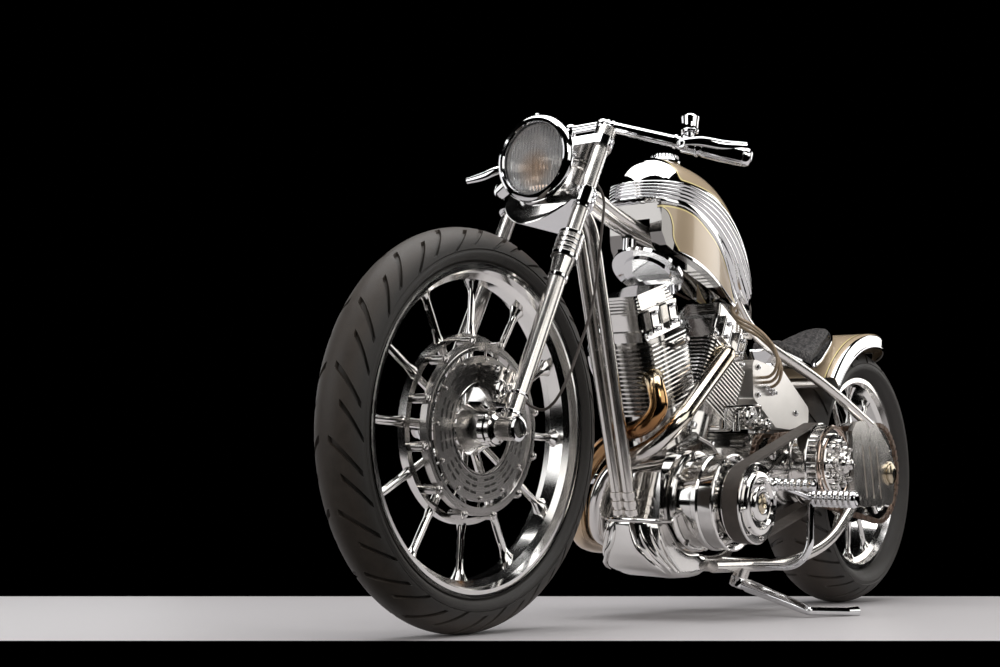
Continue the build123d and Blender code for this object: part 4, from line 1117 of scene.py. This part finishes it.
# %% Seat rim
shape = bmesh.new()
half = [(330, 85, 572), (300, 85, 587), (270, 81, 605), (240, 76, 621), (200, 66, 642), (165, 52, 659),
        (132, 31, 676), (110, 0, 684)]
rim = [Vector(point) for point in half] + [Vector((x, -y, z)) for x, y, z in reversed(half[:-1])]
rod(shape, smooth_path(rim, 5), 6.0, sides=14, flat=0.7)
add_piece(shape, "seat_rim", "frame", chrome)

# %% [markdown]
# ## Engine covers
#
# The round cover at the crank is a stepped dish held by a ring of bolts. On the machine it is
# the part that catches most light, so its steps are turned with rounded edges, one inside the
# other. The rocker boxes get nuts along their base and two on each cover.

# %% Crankcase cover, rings and bolts
crank = Vector((851, 0, 238))
shape = bmesh.new()
lathe(shape, ((64, 96), (66, 101), (71, 102), (74, 99), (75, 95)), crank, to_left, 72)
lathe(shape, ((108, 94.4), (110, 97), (120, 97.5), (123, 95), (124, 94.4)), crank, to_left, 72)
lathe(shape, ((150, 93), (152, 96), (156, 96.5), (158, 93), (156, 86), (155.5, 78)), crank, to_left, 72)
bolt_circle(shape, crank + to_left * 75, to_left, 98.5, 8, radius=5, height=4, start=0.3)
bolt_circle(shape, crank + to_left * 157, to_left, 89, 10, radius=5, height=4, start=0.2)
add_piece(shape, "crank_cover_rings", "frame", polished_alloy)

shape = bmesh.new()
bolt_circle(shape, crank - to_left * 98 + upwards * 10, -to_left, 66, 7, radius=5, height=4)
lathe(shape, ((96, 76.5), (99, 77), (101, 74), (101, 58), (103, 55), (103, 30), (107, 26), (107, 0.1)),
      crank + upwards * 10, -to_left, 64)
for x, z in ((770, 180), (820, 168), (880, 166), (925, 190), (975, 205), (975, 282), (760, 300), (800, 330),
             (915, 340)):
    for side in (1, -1):
        bolt(shape, (x, 62 * side, z), to_left * side, 5.5, 4.5)
for side in (1, -1):
    seam = [(744, 62.5 * side, 318), (776, 62.5 * side, 352), (838, 62.5 * side, 368)]
    rod(shape, smooth_path(seam), 3.5)
add_piece(shape, "crankcase_bolts", "frame", bright_steel)

# %% Rocker box nuts, plugs and exhaust collars
def cylinder_frame(angle):
    """Up along a cylinder, and ahead across it."""
    turn = math.radians(angle)
    return Vector((math.sin(turn), 0, math.cos(turn))), Vector((math.cos(turn), 0, -math.sin(turn)))


shape = bmesh.new()
collars = bmesh.new()
plugs = bmesh.new()
for angle, port_distance, port_turn in ((21, 275, 40), (-24, 320, 60)):
    up, forward = cylinder_frame(angle)
    for along in (-66, -22, 22, 66):
        for side in (1, -1):
            bolt(shape, crank + up * 361 + forward * along + to_left * 57 * side, to_left * side, 4.6, 4)
    for along in (-35, 35):
        for high in (370, 402):
            bolt(shape, crank + up * high + forward * along + to_left * 65, to_left, 5.4, 4)
        for edge in (-15, 15):
            rod(shape, [crank + up * 364 + forward * (along + edge) + to_left * 65.5,
                        crank + up * 408 + forward * (along + edge) + to_left * 65.5], 1.6, sides=8)
    for along in (-44, 44):
        for side in (44, -44):
            foot = crank + up * 146 + forward * along + to_left * side
            lathe(shape, ((0, 0.1), (0, 9), (9, 9), (11, 7), (13, 0.1)), foot, up, 20)
    way = forward * math.cos(math.radians(port_turn)) + to_left * math.sin(math.radians(port_turn))
    face = crank + up * port_distance + way * 60
    lathe(collars, ((-6, 20), (-6, 27), (0, 29), (4, 29), (6, 26), (14, 24), (20, 22), (22, 18.3)),
          face, way, 40)
    for side in (1, -1):
        ear = face + up * 31 * side
        rod(collars, [ear - way * 6, ear + way * 8], 5, sides=12)
    plug_foot = crank + up * 322 + to_left * 64 + forward * (-16 if angle > 0 else 14)
    lathe(plugs, ((0, 0.1), (0, 9), (6, 9), (6, 7), (16, 6), (18, 9), (34, 8), (36, 5), (40, 4.4),
                  (40, 0.1)), plug_foot, to_left * 0.8 + up * 0.3, 16)
add_piece(shape, "engine_nuts", "frame", chrome)
add_piece(collars, "exhaust_collars", "frame", brass)
add_piece(plugs, "spark_plugs", "frame", bright_steel)

# %% [markdown]
# ## Belly pan
#
# Four raised flutes sweep down and rearwards on each side of the pan, from its rounded front.
# Rays find the pan's surface, and each flute is a rod half sunk in it, thinner towards its ends.
# The pan itself is copied in small even faces and smoothed, which rounds its edges.

# %% Flutes and the smooth pan
shape = bmesh.new()
for side in (1, -1):
    for number in range(4):
        path = []
        for step in range(15):
            share = step / 14
            turn = math.radians(14 + number * 17 + 40 * share ** 1.4)
            out = Vector((math.cos(turn), side * math.sin(turn), 0))
            high = 186 - 92 * share ** 0.8
            inside = Vector((952 - 40 * share ** 2, 0, high))
            spot, _ = touch("belly_pan", inside + out * 300, -out)
            if spot:
                path.append(spot - out * 0.6)
        last = len(path) - 1
        rod(shape, path, [1 + 4.2 * math.sin(math.pi * n / last) ** 0.6 for n in range(len(path))],
            sides=10)
rim_height, rim_radius = 195, 60.4
rim = [(790, 64.4, rim_height), (860, 64.4, rim_height)]
for step in range(13):
    turn = math.pi / 2 - math.pi * step / 12
    apart = 4 * (1 if step < 6 else -1 if step > 6 else 0)
    rim.append((963 + rim_radius * math.cos(turn), apart + rim_radius * math.sin(turn), rim_height))
rim += [(860, -64.4, rim_height), (790, -64.4, rim_height)]
rod(shape, [Vector(point) for point in rim], 3.4, sides=10)
add_piece(shape, "belly_pan_flutes", "frame", polished_alloy)
pan = smoothed(even_copy("belly_pan", "even_pan", (1, 1, 1), 0.005), 16)
add_piece(pan, "belly_pan_shell", "frame", polished_alloy, smooth=80,
          replaces=("belly_pan",))

# %% Cuffs on the frame's tubes
shape = bmesh.new()
for side in (13.5, -13.5):
    foot = Vector((998, side, 184))
    way = (Vector((1186, side * 1.22, 750)) - foot).normalized()
    for low in (22, 40, 58):
        lathe(shape, ((low, 12.3), (low + 1, 15), (low + 12, 15), (low + 13, 12.3)), foot, way, 32)
neck_foot = on_fork(486, 0, -50)
for low, high, out in ((0, 9, 31), (88, 97, 31)):
    lathe(shape, ((low, 26.8), (low + 1, out), (high - 1, out), (high, 26.8)), neck_foot, fork_up, 48)
add_piece(shape, "frame_cuffs", "frame", nickel)

# %% [markdown]
# ## Primary drive
#
# An open toothed belt joins the crank to the clutch. The clutch is the showpiece: a vented
# drum, a copper lip, a cover with springs in cups, a hub with studs and a big nut. Turned shapes
# make most of it, and the fins and cups are repeated round circles.

# %% Clutch
clutch_place = Vector((550, 0, 330))
spring_circle, spring_count = 44, 8


def round_circle(centre, circle, count):
    """Places at even spaces round a circle that faces left."""
    for number in range(count):
        turn = number * 2 * math.pi / count
        yield centre + Vector((math.cos(turn), 0, math.sin(turn))) * circle


shape = bmesh.new()
lathe(shape, ((163, 30), (163, 84), (168, 88), (170, 88), (171, 84), (201, 84), (202, 88), (205, 88.5),
              (207, 86), (207, 74), (226, 74), (226, 82), (229, 83), (231, 81), (231, 66), (238, 66),
              (241, 63), (241, 36), (236, 34), (236, 20), (250, 20), (252, 18), (252, 0.1)),
      clutch_place, to_left, 96)
for spot in round_circle(clutch_place + to_left * 216.5, 79, 36):
    rod(shape, [spot - to_left * 10, spot + to_left * 10], 2.6, sides=8)
bolt_circle(shape, clutch_place + to_left * 206, to_left, 80, 9, radius=4, height=2)
bolt_circle(shape, clutch_place + to_left * 240, to_left, 57, 6, radius=5.5, height=5, start=0.4)
for spot in round_circle(clutch_place, spring_circle, spring_count):
    lathe(shape, ((240, 10), (248, 10), (250, 9), (250, 6.5), (244, 6), (244, 0.1)), spot, to_left, 20)
add_piece(shape, "clutch_drum", "frame", polished_alloy, replaces=("clutch",))

shape = bmesh.new()
lathe(shape, ((229, 79), (230, 83.5), (233, 84), (235, 82), (235, 76), (232, 74), (230, 74)),
      clutch_place, to_left, 96)
add_piece(shape, "clutch_lip", "frame", copper)

shape = bmesh.new()
for spot in round_circle(clutch_place, spring_circle, spring_count):
    for at in (251, 254):
        lathe(shape, ((at, 4), (at + 1, 5.6), (at + 2.4, 5.6), (at + 3, 4)), spot, to_left, 16)
    bolt(shape, spot + to_left * 256, to_left, 3.8, 2.4)
    rod(shape, [spot + to_left * 244, spot + to_left * 257], 2.6, sides=10)
lathe(shape, ((250, 0.1), (250, 26), (254, 28), (258, 27), (259, 20), (264, 17), (266, 12), (272, 11),
              (274, 8), (274, 0.1)), clutch_place, to_left, 48)
bolt_circle(shape, clutch_place + to_left * 258, to_left, 23, 5, radius=2.8, height=3)
add_piece(shape, "clutch_springs", "frame", bright_steel)

# %% Crank pulley and motor plate bolts
shape = bmesh.new()
lathe(shape, ((163, 40), (163, 75), (167, 79), (169, 79), (170, 75), (202, 75), (203, 80), (206, 80.5),
              (208, 78), (208, 63), (214, 61), (216, 57), (216, 50), (211, 47), (211, 36), (216, 34),
              (218, 31), (218, 20), (214, 18), (214, 0.1)), crank, to_left, 96)
bolt_circle(shape, crank + to_left * 208, to_left, 69.5, 8, radius=4.2, height=3, start=0.2)
bolt_circle(shape, crank + to_left * 211, to_left, 41.5, 5, radius=3.6, height=3)
add_piece(shape, "crank_pulley_rings", "frame", polished_alloy,
          replaces=("front_pulley",))
shape = bmesh.new()
lathe(shape, ((213, 19), (216, 18), (219, 14), (220, 9), (217, 7), (217, 0.1)), crank, to_left, 40)
add_piece(shape, "crank_pulley_nut", "frame", brass)
shape = bmesh.new()
for x, z in ((760, 288), (600, 378), (596, 296), (652, 322), (700, 342), (690, 282)):
    bolt(shape, (x, 162, z), to_left, 7, 5)
    lathe(shape, ((162, 12), (164, 11), (165, 8)), Vector((x, 0, z)), to_left, 24)
add_piece(shape, "motor_plate_bolts", "frame", bright_steel)

# %% [markdown]
# ## Chain and sprocket
#
# A chain is a loop of about a hundred equal links. One link is a pair of waisted plates on two
# rollers. The loop's length comes from the two sprockets, and each link is set down a pitch
# further along it.

# %% The chain's line round both sprockets
chain_pitch = 15.875
small = (clutch_place, 61.0)
large = (rear_axle, 121.5)
apart = (large[0] - small[0]).length
swing = math.asin((large[1] - small[1]) / apart)


def ring_point(wheel, turn):
    """A point of a sprocket's pitch circle, at radians from straight ahead, upwards positive."""
    return wheel[0] + Vector((math.cos(turn), 0, math.sin(turn))) * wheel[1]


top = math.pi / 2 - swing
chain_line = [ring_point(large, top + (2 * math.pi - 2 * top) * step / 60) for step in range(61)]
chain_line += [ring_point(small, -top + 2 * top * step / 40) for step in range(41)]
chain_line.append(chain_line[0])
lengths = [0.0]
for a, b in zip(chain_line, chain_line[1:]):
    lengths.append(lengths[-1] + (b - a).length)
link_count = round(lengths[-1] / chain_pitch / 2) * 2
pitch_used = lengths[-1] / link_count


def along_chain(distance):
    """The place at a distance along the chain's line."""
    distance %= lengths[-1]
    for number in range(len(lengths) - 1):
        if distance <= lengths[number + 1]:
            share = (distance - lengths[number]) / (lengths[number + 1] - lengths[number])
            return chain_line[number].lerp(chain_line[number + 1], share)
    return chain_line[0]


# %% Lay the links
shape = bmesh.new()
for number in range(link_count):
    here, there = along_chain(number * pitch_used), along_chain((number + 1) * pitch_used)
    way = (there - here).normalized()
    square = Vector((-way.z, 0, way.x))
    outer = number % 2
    outline = []
    for centre, first in ((there, -75), (here, 105)):
        for step in range(5):
            turn = math.radians(first + step * 37.5)
            outline.append(centre + (way * math.cos(turn) + square * math.sin(turn)) * 6.6)
    outline.insert(5, (here + there) / 2 + square * 4.6)
    outline.append((here + there) / 2 - square * 4.6)
    for left in ((99.4, 101.8), (112.2, 114.6)) if outer else ((102, 104.2), (109.8, 112)):
        block(shape, outline, *left)
    rod(shape, [here + to_left * 99, here + to_left * 115], 2.9, sides=8)
    rod(shape, [here + to_left * 104, here + to_left * 110], 5.0, sides=8)
add_piece(shape, "chain_links", "frame", chain_steel, replaces=("drive_chain",))
print(link_count, "links of", round(pitch_used, 2), "mm")

# %% Sprocket with teeth and curved arms
teeth = 48
root, tip = 115.5, 121.5
shape = bmesh.new()
outline = []
for number in range(teeth):
    for part, out in ((-0.36, root), (-0.14, tip), (0.14, tip), (0.36, root)):
        turn = (number + 0.5 + part) * 2 * math.pi / teeth
        outline.append(Vector((out * math.cos(turn), 0, 331 + out * math.sin(turn))))
inner = []
for number in range(192):
    turn = number * math.pi / 96
    inner.append(Vector((96 * math.cos(turn), 0, 331 + 96 * math.sin(turn))))
for left in (104, 110):
    rings = []
    for line in (outline, inner):
        points = [shape.verts.new(point + to_left * left) for point in line]
        rings += [shape.edges.new(pair) for pair in zip(points, points[1:] + points[:1])]
    bmesh.ops.bridge_loops(shape, edges=rings)
open_edges = [edge for edge in shape.edges if len(edge.link_faces) == 1]
outside = [edge for edge in open_edges
           if (edge.verts[0].co - rear_axle - to_left * edge.verts[0].co.y).length > 110]
bmesh.ops.bridge_loops(shape, edges=outside)
bmesh.ops.bridge_loops(shape, edges=[edge for edge in open_edges if edge not in outside])
lathe(shape, ((92.5, 13), (92.5, 44), (98, 46), (110, 46), (112, 42), (112, 30), (116, 28), (122, 26),
              (123, 13)), rear_axle, to_left, 48)
for number in range(8):
    turn = number * math.pi / 4
    path = []
    for step in range(7):
        bend = turn + 0.36 * math.sin(math.pi * step / 6 * 0.9)
        out = Vector((math.cos(bend), 0, math.sin(bend)))
        path.append(rear_axle + out * (42 + step * 9.4) + to_left * 107)
    rod(shape, path, [8, 7, 6, 5.5, 5.5, 6.5, 8.5], sides=10)
bolt_circle(shape, rear_axle + to_left * 112, to_left, 37, 6, radius=5, height=4)
add_piece(shape, "toothed_sprocket", "rear_wheel", polished_alloy,
          replaces=("rear_sprocket",))

# %% Axle nuts
shape = bmesh.new()
for side in (1, -1):
    lathe(shape, ((138.4, 12.2), (138.4, 24), (140, 25.5), (147, 25.5), (149, 23), (150, 19), (152, 15),
                  (152, 12.2)), rear_axle, to_left * side, 12)
    lathe(shape, ((138.2, 26), (138.2, 30), (141, 30), (142, 26)), rear_axle, to_left * side, 48)
add_piece(shape, "rear_axle_nuts", "frame", brass)

# %% [markdown]
# ## Foot pegs, stand and small fittings
#
# The pegs are turned with shallow rings for grip. The stand is a tapered leg that ends in a small
# foot. The oil tank has a cap, bolts and nuts where its hoses start.

# %% Pegs and stand
shape = bmesh.new()
for side in (1, -1):
    section = [(222, 14), (222, 18)]
    for ring in range(7):
        at = 226 + ring * 12
        section += [(at, 18), (at + 1, 17.3), (at + 4, 17.3), (at + 5, 18)]
    section += [(310, 18), (315, 15), (317, 8), (317, 0.1)]
    lathe(shape, section, Vector((624, 0, 255)), to_left * side, 32)
    section = [(222, 9), (222, 12)]
    for ring in range(5):
        at = 226 + ring * 14
        section += [(at, 12), (at + 1, 11.5), (at + 5, 11.5), (at + 6, 12)]
    section += [(298, 12), (301, 9), (302, 0.1)]
    lathe(shape, section, Vector((790, 0, 278)), to_left * side, 28)
    for x, z in ((624, 255), (790, 278)):
        lathe(shape, ((203, 0.1), (203, 10), (206, 14), (218, 14), (222, 11)), Vector((x, 0, z)),
              to_left * side, 28)
add_piece(shape, "ringed_pegs", "frame", chrome)

shape = bmesh.new()
pivot = Vector((673, 74, 72))
ankle = Vector((690, 244, 27))
toe = Vector((590, 284, 24.9))
lathe(shape, ((-13, 0.1), (-13, 10), (-10, 17.5), (-8, 17.5), (8, 17.5), (9.8, 16.5)), pivot,
      Vector((-0.16, 0.25, 0.955)), 32)
rod(shape, [toe + Vector((4, -2, 0)), toe + Vector((-22, 9, 0))], [9.3, 12], sides=18)
leg = [pivot.lerp(ankle, share) for share in (0.06, 0.14, 0.5, 0.9, 0.99)]
rod(shape, leg, [9.5, 14, 12.4, 10.6, 9.4], sides=20)
add_piece(shape, "stand_fittings", "side_stand", chrome)

# %% Pump, starter and linkage above the gearbox
shape = bmesh.new()
for x, z, low, high, out in ((640, 424, 20, 84, 24), (700, 412, 10, 60, 18), (600, 410, 60, 104, 13)):
    lathe(shape, ((low, 0.1), (low, out), (high - 18, out), (high - 17, out - 3), (high - 10, out - 3),
                  (high - 9, out + 2), (high - 3, out + 2), (high, out - 2), (high, out * 0.5),
                  (high + 4, out * 0.4), (high + 4, 0.1)), Vector((x, 0, z)), to_left, 40)
    bolt_circle(shape, Vector((x, high - 2, z)), to_left, out - 5, 5, radius=2.6, height=2.4)
for x in (570, 668, 730):
    rod(shape, [Vector((x, 60, 392)), Vector((x, 60, 436))], 8, sides=20)
    lathe(shape, ((0, 9), (2, 11), (6, 11), (8, 8), (8, 0.1)), Vector((x, 60, 430)), upwards, 24)
rod(shape, smooth_path([(570, 64, 440), (610, 84, 452), (668, 78, 446), (730, 66, 440)], 6), 3.2, sides=10)
add_piece(shape, "gearbox_fittings", "frame", polished_alloy)

# %% Oil tank fittings, hose nuts and air cleaner cover
shape = bmesh.new()
for side in (1, -1):
    for x, z in ((592, 540), (400, 452), (590, 478)):
        bolt(shape, (x, 70 * side, z), to_left * side, 6, 4)
lathe(shape, ((0, 22), (2, 23), (8, 23), (10, 20), (14, 18), (16, 12), (16, 0.1)),
      Vector((470, 30, 547)), upwards, 36)
for number in range(3):
    spot = Vector((556 - 13.7 * number, 70, 498 - 5 * number))
    lathe(shape, ((0, 0.1), (0, 7), (6, 7), (7, 5.4), (14, 5.4), (15, 3.4)), spot, to_left, 12)
add_piece(shape, "oil_tank_fittings", "frame", chrome)

shape = bmesh.new()
intake = Vector((843.5, 0, 557.9))
cover = intake + Vector((-8, -138, -6))
lathe(shape, ((0, 60), (0, 71), (3, 73), (7, 73), (9, 70.5), (29, 70.5), (31, 73), (35, 73), (38, 70),
              (39.5, 60), (37, 54), (37, 34), (40, 30), (41, 12), (41, 0.1)), cover, -to_left, 72)
bolt_circle(shape, cover - to_left * 37, -to_left, 46, 3, radius=5, height=3)
add_piece(shape, "air_cleaner_cover", "frame", chrome)

# %% [markdown]
# ## Floor and light
#
# The machine stands on a pale, slightly speckled strip of floor, square to the camera, with
# darkness behind. The world lights only what is matt: rays that come from the camera, or bounce
# off metal or pass through glass, see black, so the polish shows the lamps and nothing else.
# Polished metal takes its looks from what it reflects, so the lamps are large panels, and their
# edges are what draws the bright streaks on tubes and covers.

# %% Floor
floor_finish = Finish("floor")
speckle = floor_finish.noise(160.0, detail=10.0, roughness=0.8)
floor_finish.surface(Base_Color=floor_finish.mix(speckle, (0.42, 0.4, 0.408), (0.56, 0.54, 0.545)),
                     Roughness=speckle * 0.2 + 0.4)
floor_finish.bump(speckle, 0.15)
floor_near, floor_far = 2.03, 3.7     # metres from the camera
flat_sight = Vector((sight.x, sight.y, 0)).normalized()
under_camera = Vector((camera.location.x, camera.location.y, 0))
floor_middle = under_camera + flat_sight * (floor_far + floor_near) / 2
shape = bmesh.new()
bmesh.ops.create_grid(shape, x_segments=1, y_segments=1, size=1)
bmesh.ops.scale(shape, vec=((floor_far - floor_near) / 2, 4.5, 1), verts=shape.verts)
square_on = flat_sight.to_track_quat("X", "Z").to_matrix().to_4x4()
bmesh.ops.transform(shape, verts=shape.verts, matrix=Matrix.Translation(floor_middle) @ square_on)
floor_mesh = bpy.data.meshes.new("floor")
shape.to_mesh(floor_mesh)
shape.free()
floor_mesh.materials.append(floor_finish.material)
floor = bpy.data.objects.new("floor", floor_mesh)
scene.collection.objects.link(floor)

# %% World
world = bpy.data.worlds.new("studio")
scene.world = world
world.use_nodes = True
backdrop = world.node_tree.nodes["Background"]
ray = world.node_tree.nodes.new("ShaderNodeLightPath")
by_camera, by_gloss, through_glass = [Signal(world.node_tree, ray.outputs[name]) for name in (
    "Is Camera Ray", "Is Glossy Ray", "Is Transmission Ray")]
seen = by_camera + by_gloss + through_glass
backdrop.inputs["Color"].default_value = (1.0, 1.0, 1.0, 1.0)
feed(world.node_tree, backdrop.inputs["Strength"], (seen < 0.5) * 0.25)


# %% Lamps
def softbox(name, place, target, width, height, watts, colour=(1, 1, 1)):
    """A large soft lamp that looks at a target."""
    lamp = bpy.data.lights.new(name, "AREA")
    lamp.shape = "RECTANGLE"
    lamp.size = width
    lamp.size_y = height
    lamp.energy = watts
    lamp.color = colour
    box = bpy.data.objects.new(name, lamp)
    scene.collection.objects.link(box)
    box.location = place
    box.rotation_euler = (Vector(target) - Vector(place)).to_track_quat("-Z", "Y").to_euler()


softbox("overhead", (0.2, 0.2, 3.0), (0, 0, 0), 3.8, 2.6, 112)
softbox("left_wall", (0.2, 4.2, 1.7), (0.1, 0, 0.5), 4.0, 2.4, 42, (1.0, 0.98, 0.95))
softbox("front_wall", (4.4, -1.4, 1.7), (0.5, 0, 0.5), 2.8, 2.6, 48)
softbox("left_front", (2.3, 3.0, 2.2), (0.3, 0, 0.6), 0.9, 1.1, 17, (1.0, 0.97, 0.93))
softbox("rear_wall", (-3.6, 1.6, 1.7), (-0.3, 0, 0.4), 2.4, 2.2, 34, (1.0, 0.98, 0.95))
softbox("right_wall", (0.0, -4.2, 1.5), (0, 0, 0.4), 4.0, 2.0, 28)
scene.view_settings.view_transform = "Standard"
